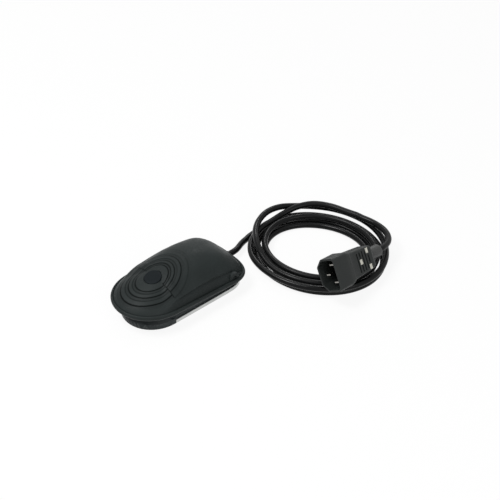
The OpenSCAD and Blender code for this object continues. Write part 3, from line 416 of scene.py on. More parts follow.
def cut(made, *cutters):
    """Takes closed shapes out of a piece, one group after another."""
    for shape in cutters:
        tool = turned_outwards(mesh_object("cutter", shape, made.data.materials[0]))
        step = made.modifiers.new("cut", "BOOLEAN")
        step.operation, step.solver, step.object = "DIFFERENCE", "EXACT", tool
        baked(made)
        bpy.data.objects.remove(tool)
    return made


def rounded_corners(corners, radius, steps):
    """A convex outline with each corner turned into an arc."""
    out = []
    for i, corner in enumerate(corners):
        p = Vector(corner)
        a = (Vector(corners[i - 1]) - p).normalized()
        b = (Vector(corners[(i + 1) % len(corners)]) - p).normalized()
        half = a.angle(b)/2
        centre = p + (a + b).normalized()*radius/math.sin(half)
        start, end = p + a*radius/math.tan(half) - centre, p + b*radius/math.tan(half) - centre
        turn = start.angle_signed(end)
        first = math.atan2(start.y, start.x)
        for k in range(steps + 1):
            angle = first - turn*k/steps
            out.append((centre.x + radius*math.cos(angle), centre.y + radius*math.sin(angle)))
    return out


def prism(outline, low, high):
    """An outline in X and Y, drawn up along Z."""
    return loft([[(x, y, z) for x, y in outline] for z in (low, high)])


def block(x, y, w, l, low, high, radius=0.3, steps=4):
    """A prism on a rectangle with rounded corners about (x, y)."""
    corners = [(x - w/2, y - l/2), (x + w/2, y - l/2), (x + w/2, y + l/2), (x - w/2, y + l/2)]
    return prism(rounded_corners(corners, radius, steps), low, high)


def smooth_line(points, step):
    """A Catmull-Rom curve through the points, with points about step apart."""
    p = np.array(points, float)
    ends = np.vstack([2*p[0] - p[1], p, 2*p[-1] - p[-2]])
    line = []
    for i in range(1, len(ends) - 2):
        a, b, c, d = ends[i - 1:i + 3]
        count = max(1, round(np.linalg.norm(c - b)/step))
        for k in range(count):
            t = k/count
            line.append(0.5*(2*b + (c - a)*t + (2*a - 5*b + 4*c - d)*t*t + (3*b - a - 3*c + d)*t**3))
    line.append(p[-1])
    return np.array(line)


def tube(line, radius, sides):
    """Rings about a line, each turned from the one before without twist."""
    along = np.gradient(line, axis=0)
    along /= np.linalg.norm(along, axis=1)[:, None]
    side = np.cross(along[0], (0, 0, 1.0))
    side /= np.linalg.norm(side)
    rings = []
    for p, t in zip(line, along):
        side = side - t*(side @ t)
        side /= np.linalg.norm(side)
        up = np.cross(t, side)
        rings.append([p + radius*(math.cos(a)*side + math.sin(a)*up)
                      for a in (2*math.pi*k/sides for k in range(sides))])
    return rings


# ---- geometry nodes ----

class Pattern:
    """A Geometry Nodes tree whose sizes are named inputs; it ends in Realize Instances and Set Material."""

    def __init__(self, name, sizes):
        self.tree = bpy.data.node_groups.new(name, "GeometryNodeTree")
        self.sizes = sizes
        self.tree.interface.new_socket("Places", in_out="INPUT", socket_type="NodeSocketGeometry")
        self.tree.interface.new_socket("Geometry", in_out="OUTPUT", socket_type="NodeSocketGeometry")
        for label in sizes:
            self.tree.interface.new_socket(label, in_out="INPUT", socket_type="NodeSocketFloat")
        self.start = self.tree.nodes.new("NodeGroupInput")
        self.end = self.tree.nodes.new("NodeGroupOutput")

    def size(self, label):
        return self.start.outputs[label]

    def node(self, kind, inputs=(), **settings):
        return add_node(self.tree, kind, inputs, **settings)

    def math(self, operation, a, b=0.0, clamp=False):
        return self.node("ShaderNodeMath", {0: a, 1: b}, operation=operation, use_clamp=clamp).outputs[0]

    def vector(self, x=0.0, y=0.0, z=0.0):
        return self.node("ShaderNodeCombineXYZ", {"X": x, "Y": y, "Z": z}).outputs[0]

    def lay_out(self, shape, material):
        """Puts the shape on each of the places."""
        laid = self.node("GeometryNodeInstanceOnPoints",
                         {"Points": self.start.outputs["Places"], "Instance": shape})
        real = self.node("GeometryNodeRealizeInstances", {"Geometry": laid.outputs[0]})
        smooth = self.node("GeometryNodeSetShadeSmooth", {"Geometry": real.outputs[0]})
        painted = self.node("GeometryNodeSetMaterial", {"Geometry": smooth.outputs[0], "Material": material})
        self.tree.links.new(painted.outputs[0], self.end.inputs[0])

    def run(self, name, places, sizes, material):
        """A plain mesh of the result on these places; its sizes are in millimetres, apart from Turns."""
        sizes = dict(zip(self.sizes, sizes))
        made = mesh_object(name, (places, []), material)
        step = made.modifiers.new("pattern", "NODES")
        step.node_group = self.tree
        for item in self.tree.interface.items_tree:
            if item.name in sizes:
                step[item.identifier] = sizes[item.name]*(1.0 if item.name == "Turns" else MM)
        return baked(made)


SPRING_POINTS, SPRING_SIDES = 145, 10
CLOSED_GAP = 0.05            # between the closed turns at a spring's ends


def spring_pattern(material):
    """Wire springs that stand on their places, with the first and the last turn closed."""
    p = Pattern("standing_springs", ("Radius", "Wire", "Height", "Turns"))
    line = p.node("GeometryNodeCurvePrimitiveLine", {"End": (0, 0, 1)})
    fine = p.node("GeometryNodeResampleCurve", {"Curve": line.outputs[0], "Count": SPRING_POINTS})
    share = p.node("GeometryNodeSplineParameter").outputs["Factor"]
    turn = p.math("MULTIPLY", share, p.size("Turns"))
    angle = p.math("MULTIPLY", turn, 2*math.pi)
    x = p.math("MULTIPLY", p.math("COSINE", angle), p.size("Radius"))
    y = p.math("MULTIPLY", p.math("SINE", angle), p.size("Radius"))
    last = p.math("SUBTRACT", turn, p.math("SUBTRACT", p.size("Turns"), 1.0))
    closed = p.math("ADD", p.math("MINIMUM", turn, 1.0), p.math("MAXIMUM", last, 0.0))
    step = p.math("ADD", p.size("Wire"), CLOSED_GAP*MM)
    open_share = p.math("DIVIDE", p.math("SUBTRACT", turn, 1.0), p.math("SUBTRACT", p.size("Turns"), 2.0),
                        clamp=True)
    tall = p.math("SUBTRACT", p.size("Height"), p.size("Wire"))
    lift = p.math("SUBTRACT", tall, p.math("MULTIPLY", step, 2.0))
    thick = p.math("MULTIPLY", p.size("Wire"), 0.5)
    low = p.math("ADD", thick, p.math("MULTIPLY", step, closed))
    z = p.math("ADD", low, p.math("MULTIPLY", open_share, lift))
    bent = p.node("GeometryNodeSetPosition", {"Geometry": fine.outputs[0], "Position": p.vector(x, y, z)})
    wire = p.node("GeometryNodeCurvePrimitiveCircle", {"Resolution": SPRING_SIDES, "Radius": thick})
    solid = p.node("GeometryNodeCurveToMesh",
                   {"Curve": bent.outputs[0], "Profile Curve": wire.outputs[0], "Fill Caps": True})
    p.lay_out(solid.outputs[0], material)
    return p


def screw_pattern(blank, material):
    """Screws made of a turned blank with a cross-shaped recess cut into it."""
    p = Pattern(blank.name + "_rows", ("Recess length", "Recess width", "Recess depth", "Recess height"))
    body = p.node("GeometryNodeObjectInfo", {"Object": blank}).outputs["Geometry"]
    deep = p.math("MULTIPLY", p.size("Recess depth"), 2.0)
    bars = [p.node("GeometryNodeMeshCube", {"Size": p.vector(a, b, deep)}).outputs[0]
            for a, b in ((p.size("Recess length"), p.size("Recess width")),
                         (p.size("Recess width"), p.size("Recess length")))]
    for bar in bars:
        raised = p.node("GeometryNodeTransform",
                        {"Geometry": bar, "Translation": p.vector(0.0, 0.0, p.size("Recess height"))})
        less = p.node("GeometryNodeMeshBoolean", operation="DIFFERENCE", solver="EXACT")
        p.tree.links.new(body, less.inputs[0])
        p.tree.links.new(raised.outputs[0], less.inputs[1])
        body = less.outputs[0]
    p.lay_out(body, material)
    return p


# ---- the cord ----

CORD_D = 5
CORD_SIDES = 20
LEAD = [(-6.5, 60, 5.6), (-6.5, 64.5, 5.6), (-7.5, 69, 5.3), (-9.5, 73.2, 4.7), (-11.6, 77.2, 3.9),
        (-13.3, 81.2, 3.1), (-14.4, 85.2, 2.7)]
TAIL = [(37.6, 164.2, 13.6), (45, 165.9, 13.6), (52.5, 166.6, 13.6), (59.8, 165.9, 13.7), (66.4, 163.3, 14),
        (71.9, 158.9, 14.7), (75.7, 153.2, 15.7)]
COIL_R = 52.9                # mean radius of the lower layer's outside turn
COIL_PITCH = 6.6
COIL_TOP_TURNS = 2.875
COIL_LOW_TURNS = COIL_TOP_TURNS - 0.5
COIL_TURNS = COIL_LOW_TURNS + COIL_TOP_TURNS
COIL_C = (37, 114.9)
COIL_SHIFT = (-0.2, 1.2)     # how far the upper layer lies beside the lower one
COIL_OVAL = 3.4
COIL_TURNED = math.radians(17.6)
LAYER_H = CORD_D + 0.6
LAYER_Z = CORD_D/2 + 0.1
COIL_STEPS = 24              # points in a turn
SWELL_OUT, SAG, SLIP_IN, SLIP_BACK = 6.6, 1.4, 7.7, 3.8      # how far the last turns stray
PLUG_AT = (82, 82.6, 25.8)
PLUG_ROLL, PLUG_PITCH, PLUG_YAW = (math.radians(a) for a in (57.2, -7.7, 3.2))
SHROUD_L, GRIP_L, SHOULDER_L, SLEEVE_L = 18.4, 23, 3, 13.6
PLUG_LEN = SHROUD_L + GRIP_L + SHOULDER_L
PLUG_PLACE = (Matrix.Translation(PLUG_AT) @ Matrix.Rotation(PLUG_YAW, 4, "Z")
              @ Matrix.Rotation(PLUG_PITCH, 4, "X") @ Matrix.Rotation(PLUG_ROLL, 4, "Y"))


def ease(t):
    u = np.clip(t, 0, 1)
    return u*u*(3 - 2*u)


def swell(t, start, end, width):
    """Rises from 0 to 1 after start and falls back before end."""
    return ease((t - start)/width)*ease((end - t)/width)


def coil_point(t):
    """A point of the coil after t turns, running clockwise; some of its turns stray and cross others."""
    a = math.pi - 2*math.pi*t
    e = t - COIL_TURNS
    stray = (SWELL_OUT*swell(e, -1.36, -0.78, 0.22) - SLIP_IN*ease((e + 0.4)/0.2)
             + SLIP_BACK*swell(e, -0.21, 0.05, 0.13))
    r = COIL_R - COIL_PITCH*(COIL_LOW_TURNS - abs(t - COIL_LOW_TURNS)) + stray
    climb = ease((t - COIL_LOW_TURNS)/0.5 + 0.5)
    lift = ((LAYER_H - 0.1)*swell(e, -1.45, -1.09, 0.12) - SAG*swell(e, -1.11, -0.76, 0.15)
            + (LAYER_H - 0.2)*ease((e + 0.21)/0.13))
    u, v = (r + COIL_OVAL)*math.cos(a), (r - COIL_OVAL)*math.sin(a)
    x = COIL_C[0] + climb*COIL_SHIFT[0] + u*math.cos(COIL_TURNED) - v*math.sin(COIL_TURNED)
    y = COIL_C[1] + climb*COIL_SHIFT[1] + u*math.sin(COIL_TURNED) + v*math.cos(COIL_TURNED)
    return np.array((x, y, LAYER_Z + LAYER_H*climb + lift))


def behind_sleeve(beyond):
    """A point on the plug's axis, that far behind its sleeve."""
    return np.array(PLUG_PLACE @ Vector((0, PLUG_LEN + SLEEVE_L + beyond, 0)))


def cord_route():
    count = round(COIL_TURNS*COIL_STEPS)
    turns = [coil_point(i*COIL_TURNS/count) for i in range(count + 1)]
    head, tail = turns[0] - turns[1], turns[-1] - turns[-2]
    head, tail = head/np.linalg.norm(head), tail/np.linalg.norm(tail)
    start, end = turns[0] + CORD_D*head, turns[-1] + CORD_D*tail
    return [*LEAD, start + CORD_D*head, start, *turns, end, end + CORD_D*tail, *TAIL, behind_sleeve(CORD_D),
            behind_sleeve(0)]


def add_cord():
    line = smooth_line(cord_route(), 2.2)
    cord = mesh_object("cord", loft(tube(line, CORD_D/2, CORD_SIDES)), MATERIALS["cord_rubber"])
    far = np.concatenate([[0], np.cumsum(np.linalg.norm(np.diff(line, axis=0), axis=1))])
    uv = cord.data.uv_layers.new(name="along")
    for poly in cord.data.polygons:
        sides = [cord.data.loops[i].vertex_index % CORD_SIDES for i in poly.loop_indices]
        wraps = max(sides) - min(sides) > CORD_SIDES/2
        for i, k in zip(poly.loop_indices, sides):
            around = (k + CORD_SIDES if wraps and k == 0 else k)/CORD_SIDES
            uv.data[i].uv = (far[cord.data.loops[i].vertex_index//CORD_SIDES]*MM, around*math.pi*CORD_D*MM)
    finish_piece(cord, "base")
    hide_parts("cord_lead", "cord_coil", "cord_tail")
    return cord, line, far[-1]


# ---- the tread's cover ----

COVER_L, COVER_W, CREST_H = 110.4, 59.6, 38
NOSE_L, HEEL_L = 34, 24.4
NOSE_POW, HEEL_POW = 2.05, 3
HALF_W = COVER_W/2
NOSE_Y, HEEL_Y = -COVER_L/2 + NOSE_L, COVER_L/2 - HEEL_L
RIM_Z, RIM_H, WALL = 12.2, 4.2, 2.2
RIM_SLOPE = math.tan(math.radians(2.66))
DOME_IN = 2.4                # where the dome starts, in from the outline
INNER_IN = 3.9               # the same for the dome's inner face
SPINE_NOSE, SPINE_HEEL, SPINE_TOP, SPINE_BOW = -13, 14, 13, 0.0062
NOSE_FADE_Y, NOSE_FADE_L, HEEL_FADE_Y, HEEL_FADE_L = -14, 24, 8, 48

# Rim band and the groove above it: distance in from the outline, height above the rim's underside
RIM_ROWS = [(2.2, 0), (1.75, 0), (1.25, 0.08), (0.82, 0.34), (0.44, 0.8), (0.17, 1.4), (0.03, 2.0), (0, 2.5),
            (0.05, 3.0), (0.2, 3.5), (0.45, 3.9), (0.8, 4.15), (1.2, 4.25), (1.52, 4.18), (1.76, 3.95),
            (1.92, 3.66), (2.08, 3.58), (2.22, 3.74), (2.32, 4.0)]
# Dome: share of the way in to the crest line and share of the height up to it
SIDE_ROWS = [(0, 0), (0.022, 0.15), (0.038, 0.32), (0.053, 0.44), (0.09, 0.475), (0.155, 0.55), (0.25, 0.68),
             (0.4, 0.82), (0.6, 0.92), (0.8, 0.98), (1, 1)]
NOSE_ROWS = [(0, 0), (0.015, 0.04), (0.04, 0.1), (0.08, 0.18), (0.139, 0.275), (0.215, 0.375),
             (0.316, 0.49), (0.443, 0.615), (0.608, 0.752), (0.797, 0.875), (1, 1)]
HEEL_ROWS = [(0, 0), (0.023, 0.075), (0.052, 0.146), (0.098, 0.25), (0.16, 0.367), (0.247, 0.508),
             (0.361, 0.667), (0.495, 0.8), (0.65, 0.9), (0.82, 0.967), (1, 1)]
PROFILE_STEPS = 40
INNER_STEPS = (39.5, 37, 34, 30, 26, 22, 18, 14, 10, 6, 0)      # of the profile, on the dome's inner face
INNER_RIM_H = RIM_H - 1.2
CREASE_K, CREASE_FALL, CREASE_W = 10.5, 8, 1.5      # its place, drop and width, in steps of the profile
CREASE_DEPTH = 1.0
CREASE_FROM, CREASE_FALL_Y, CREASE_TO = -28, 38, 49


def outline(inside, count, side_count):
    """The outline, drawn in by a distance, anticlockwise from the nose: count points on each quarter arc."""
    a = np.linspace(0, math.pi/2, count + 1)
    w = HALF_W - inside
    nose = np.stack([w*np.sin(a)**(2/NOSE_POW), NOSE_Y - (NOSE_L - inside)*np.cos(a)**(2/NOSE_POW)], 1)
    side = np.stack([np.full(side_count - 1, w), np.linspace(NOSE_Y, HEEL_Y, side_count + 1)[1:-1]], 1)
    b = a[::-1]
    heel = np.stack([w*np.sin(b)**(2/HEEL_POW), HEEL_Y + (HEEL_L - inside)*np.cos(b)**(2/HEEL_POW)], 1)
    half = np.vstack([nose, side, heel])
    half[0, 0] = half[-1, 0] = 0
    return np.vstack([half, half[-2:0:-1]*(-1, 1)])


def spaced_ring(inside, count):
    """The outline, drawn in by a distance, with count points at even steps."""
    ring = outline(inside, 130, 150)
    closed = np.vstack([ring, ring[:1]])
    far = np.concatenate([[0], np.cumsum(np.linalg.norm(np.diff(closed, axis=0), axis=1))])
    at = np.linspace(0, far[-1], count, endpoint=False)
    return np.stack([np.interp(at, far, closed[:, k]) for k in (0, 1)], 1)


def crest(y):
    return CREST_H - SPINE_BOW*(y - SPINE_TOP)**2


def rim_bottom(y):
    return RIM_Z - RIM_SLOPE*y


def softened(rows):
    """A profile's rows as a smooth curve, at even steps of the row number."""
    steps = np.linspace(0, len(rows) - 1, PROFILE_STEPS + 1)
    p = np.array(rows, float)
    ends = np.vstack([2*p[0] - p[1], p, 2*p[-1] - p[-2]])
    i = np.minimum(steps.astype(int), len(rows) - 2)
    t = (steps - i)[:, None]
    a, b, c, d = (ends[i + k] for k in range(4))
    return 0.5*(2*b + (c - a)*t + (2*a - 5*b + 4*c - d)*t*t + (3*b - a - 3*c + d)*t**3)


PROFILES = [softened(rows) for rows in (SIDE_ROWS, NOSE_ROWS, HEEL_ROWS)]


def dome_row(foot, outer_y, k, foot_h=RIM_H, thin=0.0):
    """A ring of the dome at step k of its profile: points between the foot and the crest line."""
    wn = ease((NOSE_FADE_Y - outer_y)/NOSE_FADE_L)[:, None]
    wh = ease((outer_y - HEEL_FADE_Y)/HEEL_FADE_L)[:, None]
    low = min(int(k), PROFILE_STEPS - 1)
    row = sum((p[low] + (p[low + 1] - p[low])*(k - low))*w for p, w in zip(PROFILES, (1 - wn - wh, wn, wh)))
    crest_y = np.clip(foot[:, 1], SPINE_NOSE, SPINE_HEEL)
    flat = foot + row[:, :1]*(np.stack([np.zeros(len(foot)), crest_y], 1) - foot)
    start = rim_bottom(foot[:, 1]) + foot_h
    return np.column_stack([flat, start + row[:, 1]*(crest(crest_y) - thin - start)])


def relief(x, y):
    """Height of the relief over the plain tread, in millimetres: flat channels with soft walls."""
    out = np.zeros_like(x)
    for grooves, stretch, side in ((NOSE_GROOVES, NOSE_STRETCH, -1), (HEEL_GROOVES, HEEL_STRETCH, 1)):
        here = ease(side*(y - SPLIT_Y)/SPLIT_BLEND + 0.5)
        up = (y - INSERT_Y)/stretch
        far = np.maximum(np.hypot(x, up), 1e-6)
        slope = np.hypot(x, up/stretch)/far
        for radius, wide, inner, _ in grooves:
            off = np.abs(far - radius)/slope
            out -= here*inner*GROOVE_DEPTH*ease((wide/2 + WALL_W/2 - off)/WALL_W)
    along = swell(np.abs(x), SPLIT_FROM, SPLIT_TO, 0.8)
    return np.minimum(out, -0.8*GROOVE_DEPTH*along*ease((SPLIT_W - np.abs(y - SPLIT_Y))/0.5))


def creased(row, outer_y, k):
    """Draws a ring of the dome in where a soft crease runs along the flanks and down to the heel."""
    line = CREASE_K - CREASE_FALL*ease((outer_y - CREASE_FALL_Y)/9)
    share = ease((outer_y - CREASE_FROM)/16)*ease((CREASE_TO - outer_y)/3)
    inward = np.stack([np.zeros(len(row)), np.clip(row[:, 1], SPINE_NOSE, SPINE_HEEL)], 1) - row[:, :2]
    inward /= np.linalg.norm(inward, axis=1)[:, None]
    row[:, :2] += inward*(CREASE_DEPTH*share*np.exp(-((k - line)/CREASE_W)**2))[:, None]
    return row


def crest_strip(rings, count, flip):
    """Closes a dome along its crest line, between the two sides of its last ring."""
    first, half = (rings - 1)*count, count//2
    faces = [(first + i, first + i + 1, first + count - i - 1, first + count - i) for i in range(1, half - 1)]
    faces += [(first, first + 1, first + count - 1), (first + half - 1, first + half, first + half + 1)]
    return [face[::-1] for face in faces] if flip else faces


INSERT_PLACE = Matrix.Translation((0, INSERT_Y, 31.6)) @ Matrix.Rotation(math.radians(13), 4, "X")
INSERT_R, RECESS_R, RECESS_DEPTH = 6.8, 7.0, 1.5


def add_cover():
    """The tread's shell, in rings from its inner face over the rim to the crest, and its insert."""
    count = 800
    outer = spaced_ring(0, count)
    low, inner = spaced_ring(DOME_IN, count), spaced_ring(INNER_IN, count)
    rings = [dome_row(inner, outer[:, 1], k, INNER_RIM_H, WALL) for k in INNER_STEPS]
    for inside, up in [(3.0, 2.4), (WALL + 0.1, 1.6)] + RIM_ROWS:
        ring = spaced_ring(inside, count)
        rings.append(np.column_stack([ring, rim_bottom(ring[:, 1]) + up]))
    for k in np.arange(0, PROFILE_STEPS, 0.5):
        rings.append(creased(dome_row(low, outer[:, 1], k), outer[:, 1], k))
        rings[-1][:, 2] += relief(rings[-1][:, 0], rings[-1][:, 1])
    points, faces = loft([list(map(tuple, r)) for r in rings], False, False)
    faces += crest_strip(len(rings), count, False) + crest_strip(1, count, True)
    cover = mesh_object("treadle_cover_shell", (points, faces), MATERIALS["cover_plastic"])
    mouth = [(0, -RECESS_DEPTH), (RECESS_R, -RECESS_DEPTH), (RECESS_R, -0.3), (RECESS_R + 0.5, 0.5),
             (RECESS_R + 0.5, 4), (0, 4)]
    cut(cover, placed(lathe(mouth, sides=96), INSERT_PLACE))
    finish_piece(cover, "treadle", 50)
    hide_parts("treadle_cover")

    disc = [(0, -1.4), (6.5, -1.4), (INSERT_R, -1.1), (INSERT_R, -0.25), (6.7, -0.08), (6.5, 0.02)]
    disc += [(r, 0.4 - r*r/120) for r in (6.2, 5.2, 4, 2.6, 1.2, 0)]
    insert = turned_outwards(mesh_object("tread_insert_disc", placed(lathe(disc, sides=96), INSERT_PLACE),
                                         MATERIALS["insert_rubber"]))
    finish_piece(insert, "treadle")
    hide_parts("tread_insert")


SPRING_X, SPRING_Y, PLUNGER_Y = 13.5, -14, -4.1375
SHAFT_AT = (0, 35.6, 16)


def add_cover_posts():
    """What stands inside the cover: shaft bosses, stops, rests, spring seats and the push post."""
    def post(x, y, d, low, high=None):
        top = high if high else dome_inside(x, y) + 0.4
        profile = [(0, low), (d/2 - 0.3, low), (d/2, low + 0.3), (d/2, top), (0, top)]
        return lathe(profile, at=(x, y, 0), sides=32)

    pairs = [(10, -34, 5, 14), (14, 45, 5, 9.6), (SPRING_X, SPRING_Y, 9, 21),
             (SPRING_X, SPRING_Y, 4.7, 19, 21.2)]
    shapes = [post(s*x, *sizes) for x, *sizes in pairs for s in (-1, 1)]
    shapes.append(post(0, PLUNGER_Y, 6, 24.3))
    for s in (-1, 1):
        boss = [(2.05, 19), (4.2, 19), (4.5, 19.3), (4.5, 27.8), (2.05, 27.8)]
        shapes.append(lathe([(r, s*h) for r, h in boss], "X", at=SHAFT_AT, sides=40, ring=True))
    posts = turned_outwards(mesh_object("cover_posts", joined(shapes), MATERIALS["cover_plastic"]))
    finish_piece(posts, "treadle")


def dome_inside(x, y):
    """Height of the cover's inner face over a point."""
    foot, outer = spaced_ring(INNER_IN, 400), spaced_ring(0, 400)
    near = np.vstack([dome_row(foot, outer[:, 1], k, INNER_RIM_H, WALL) for k in range(PROFILE_STEPS)])
    off = np.hypot(near[:, 0] - x, near[:, 1] - y)
    return float(near[off.argmin(), 2])


# ---- the plug ----

PLUG_W, PLUG_H, CHAMFER, SHROUD_R, SHROUD_WALL, CAVITY_L = 26.4, 20.2, 6, 3, 1.5, 16
GRIP_W, GRIP_H, GRIP_END_W = PLUG_W - 4.4, PLUG_H - 2.6, 18.4
SLOPE_L = 5                  # length of the shroud's sloping back
WINDOWS = [(-6.5, 37.5), (0, 29), (6.5, 37.5)]
SLOTS = [15.6, 15.6, 15.6, 13.8, 6.6]
SLOT_Y, SLOT_STEP, SLOT_W = SHROUD_L + 7.55, 2.95, 1.1
PIN_HOLES = [(-7, 2), (7, 2), (0, -2)]
SLEEVE_R, SLEEVE_SEAT = 5.2, 3.75


def across_plug(y, w, h, c, r):
    """A ring across the plug: the two corners on the earth pin's side are cut off by c."""
    x, z = w/2, h/2
    corners = [(-x, z), (-x, -z + c), (-x + c, -z), (x - c, -z), (x, -z + c), (x, z)]
    return [(px, y, pz) for px, pz in rounded_corners(corners, r, 6)]


def plug_rows():
    """Rings from the floor of the cavity out to the lip, then back along the outside to the sleeve."""
    wall, cut_in = SHROUD_WALL, CHAMFER - 0.8*SHROUD_WALL
    rows = [(CAVITY_L, 2*wall + 1, cut_in, 1.5), (CAVITY_L - 0.15, 2*wall + 0.3, cut_in, 1.9),
            (CAVITY_L - 0.5, 2*wall, cut_in, 2), (0.35, 2*wall, cut_in, 2),
            (0.1, 2*wall - 0.15, CHAMFER - 0.7*wall, 2.1), (0, 2*wall - 0.5, CHAMFER - 0.6*wall, 2.2),
            (0, 0.6, CHAMFER - 0.2, 2.8), (0.1, 0.2, CHAMFER, 2.95), (0.4, 0, CHAMFER, 3)]
    rings = [across_plug(y, PLUG_W - less, PLUG_H - less, c, r) for y, less, c, r in rows]
    back = SHROUD_L - SLOPE_L
    for u in np.linspace(0, 1, 8):
        s = u**1.4
        rings.append(across_plug(back + SLOPE_L*u, PLUG_W - 3.4*s, PLUG_H - 1.2*s,
                                 CHAMFER - s, SHROUD_R - 0.6*s))
    for y, wide, less, c, r in ((0.12, 0.5, 0.2, 1, 2.2), (0.16, 0.86, 1.1, 1.3, 2), (0.5, 1, 1.4, 1.4, 2)):
        rings.append(across_plug(SHROUD_L + y, GRIP_W + 1 - wide, PLUG_H - 1.2 - less, CHAMFER - c, r))
    grip_end = SHROUD_L + GRIP_L
    for u in (0.25, 0.5, 0.75, 0.95):
        rings.append(across_plug(SHROUD_L + 0.6 + (GRIP_L - 0.6)*u, GRIP_W + (GRIP_END_W - GRIP_W)*u, GRIP_H,
                                 CHAMFER - 1.4, 2))
    for u in np.linspace(0, 1, 8):
        a = u*math.pi/2
        slim = 1 - math.cos(a)
        rings.append(across_plug(grip_end + SHOULDER_L*math.sin(a)**1.3, GRIP_END_W - 7*slim**0.9,
                                 GRIP_H - 0.28*GRIP_H*slim, CHAMFER - 1.4 - u, 2 - 0.4*u))
    return rings


def stadium(x_half, y, width, low, high, steps=8):
    """A prism with round ends, x_half long to each side."""
    r = width/2
    ends = []
    for s, start in ((1, -math.pi/2), (-1, math.pi/2)):
        for a in (start + math.pi*k/steps for k in range(steps + 1)):
            ends.append((s*(x_half - r) + r*math.cos(a), y + r*math.sin(a)))
    return prism(ends, low, high)


def add_plug():
    """The plug's moulded shell with its hollow, slots, windows and pin holes, and the sleeve behind it."""
    plastic = MATERIALS["plug_plastic"]
    shell = turned_outwards(mesh_object("plug_shell_moulded", loft(plug_rows()), plastic))
    pocket = block(0, 31, 17.2, 19.2, -4.6, 4.6)
    slots = [stadium(length/2, SLOT_Y + SLOT_STEP*k, SLOT_W, *ends) for k, length in enumerate(SLOTS)
             for ends in ((GRIP_H/2 - 1, GRIP_H/2 + 1), (-GRIP_H/2 - 1, -GRIP_H/2 + 1))]
    windows = [block(x, y, 4.2, 2.8, 0, 12) for x, y in WINDOWS]
    pins = [block(x, 18, 2.1, 4.2, z - 2.05, z + 2.05, 0.2) for x, z in PIN_HOLES]
    seat = lathe([(r, PLUG_LEN + y) for r, y in ((0, -4), (SLEEVE_SEAT, -4), (SLEEVE_SEAT, 1), (0, 1))], "Y")
    cut(shell, joined([pocket] + slots), joined(windows + pins + [seat]))
    shell.data.transform(Matrix.Diagonal((1/MM, 1/MM, 1/MM, 1)))
    shell.data.transform(PLUG_PLACE)
    shell.data.transform(Matrix.Diagonal((MM, MM, MM, 1)))
    finish_piece(shell, "base", 32)
    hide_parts("plug_shell")

    end = PLUG_LEN + SLEEVE_L
    profile = [(2.55, PLUG_LEN - 3.6), (3.7, PLUG_LEN - 3.6), (3.7, PLUG_LEN), (4.9, PLUG_LEN),
               (SLEEVE_R, PLUG_LEN + 0.3), (SLEEVE_R, end - 1.5)]
    profile += [(SLEEVE_R - 1.4*(1 - math.cos(a)), end - 1.5 + 1.5*math.sin(a))
                for a in np.linspace(0.2, math.pi/2, 7)]
    profile += [(2.9, end), (2.55, end - 0.4)]
    tube_shape = placed(lathe(profile, "Y", ring=True), PLUG_PLACE)
    sleeve = turned_outwards(mesh_object("plug_sleeve_tube", tube_shape, SLEEVE_RUBBER))
    finish_piece(sleeve, "base")
    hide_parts("plug_sleeve")
    return shell, sleeve


# ---- small parts ----

def add_grommet():
    """Tapered strain relief where the cord leaves the heel, with five ribs."""
    bore = 2.55
    profile = [(bore, 0), (2.9, 0), (3, 0.3), (3, 4.8), (3.5, 4.8), (3.5, 6.4), (3, 6.4), (3, 11.2),
               (3.6, 11.2), (3.7, 11.35), (3.7, 12.35), (3.55, 12.5)]
    for k in range(5):
        y, r = 12.9 + 1.4*k, 3.5 - 0.12*k
        profile += [(r, y), (r, y + 0.75), (r - 0.35, y + 0.9), (r - 0.35, y + 1.25)]
    profile += [(2.85, 19.7), (2.65, 20), (bore, 20)]
    shape = lathe(profile, "Y", (-6.5, 40, 5.6), 40, True)
    made = turned_outwards(mesh_object("cord_grommet_ribbed", shape, RELIEF_RUBBER))
    finish_piece(made, "base")
    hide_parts("cord_grommet")
    return made


def add_feet():
    profile = [(0, 0), (4.1, 0), (4.4, 0.12), (4.5, 0.35), (4.5, 0.8), (0, 0.8)]
    feet = joined([lathe(profile, at=(x, y, 0), sides=40)
                   for x, y in ((-14, -33), (14, -33), (-17, 38), (17, 38))])
    made = turned_outwards(mesh_object("rubber_feet_round", feet, MATERIALS["foot_rubber"]))
    finish_piece(made, "base")
    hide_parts("rubber_feet")


def screw_blank(name, profile):
    return turned_outwards(mesh_object(name, lathe(profile, sides=28), MATERIALS["screw_steel"]))


def add_screws():
    """Pan-head screws inside and sunk ones under the plate."""
    steel = MATERIALS["screw_steel"]
    pan = [(0, -5), (0.9, -5), (1.2, -4.4), (1.2, 0), (2.1, 0), (2.2, 0.1), (2.2, 0.7), (2.0, 1.1),
           (1.6, 1.38), (1.0, 1.5), (0, 1.5)]
    sunk = [(0, 0), (2.1, 0), (2.2, 0.1), (1.2, 1.2), (1.2, 4.8), (0.9, 5.4), (0, 5.4)]
    recess = (2.4, 0.5, 0.6)      # length and width of each bar of the cross, and depth
    pan_blank, sunk_blank = screw_blank("pan_screw", pan), screw_blank("sunk_screw", sunk)
    pans, sunks = screw_pattern(pan_blank, steel), screw_pattern(sunk_blank, steel)
    rows = [("bracket_screws", pans, [(-9.4, 9.5, 8.0), (1.5, 10.8, 8.0)], 1.5),
            ("board_screws", pans, [(-13.9, 24.5, 9.6), (13.9, 24.5, 9.6)], 1.5),
            ("clamp_screws", pans, [(-11.6, 37.4, 10.0), (-1.4, 37.4, 10.0)], 1.5),
            ("plate_screws", sunks, [(x, y, 0.85) for x in (-20.2, 20.2) for y in (-6, 18)], 0)]
    made = [(pattern.run(node + "_crossed", places, (*recess, height), steel), node)
            for node, pattern, places, height in rows]
    for blank in (pan_blank, sunk_blank):
        bpy.data.objects.remove(blank)
    for screws, node in made:
        finish_piece(screws, "base", 30)
        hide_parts(node)


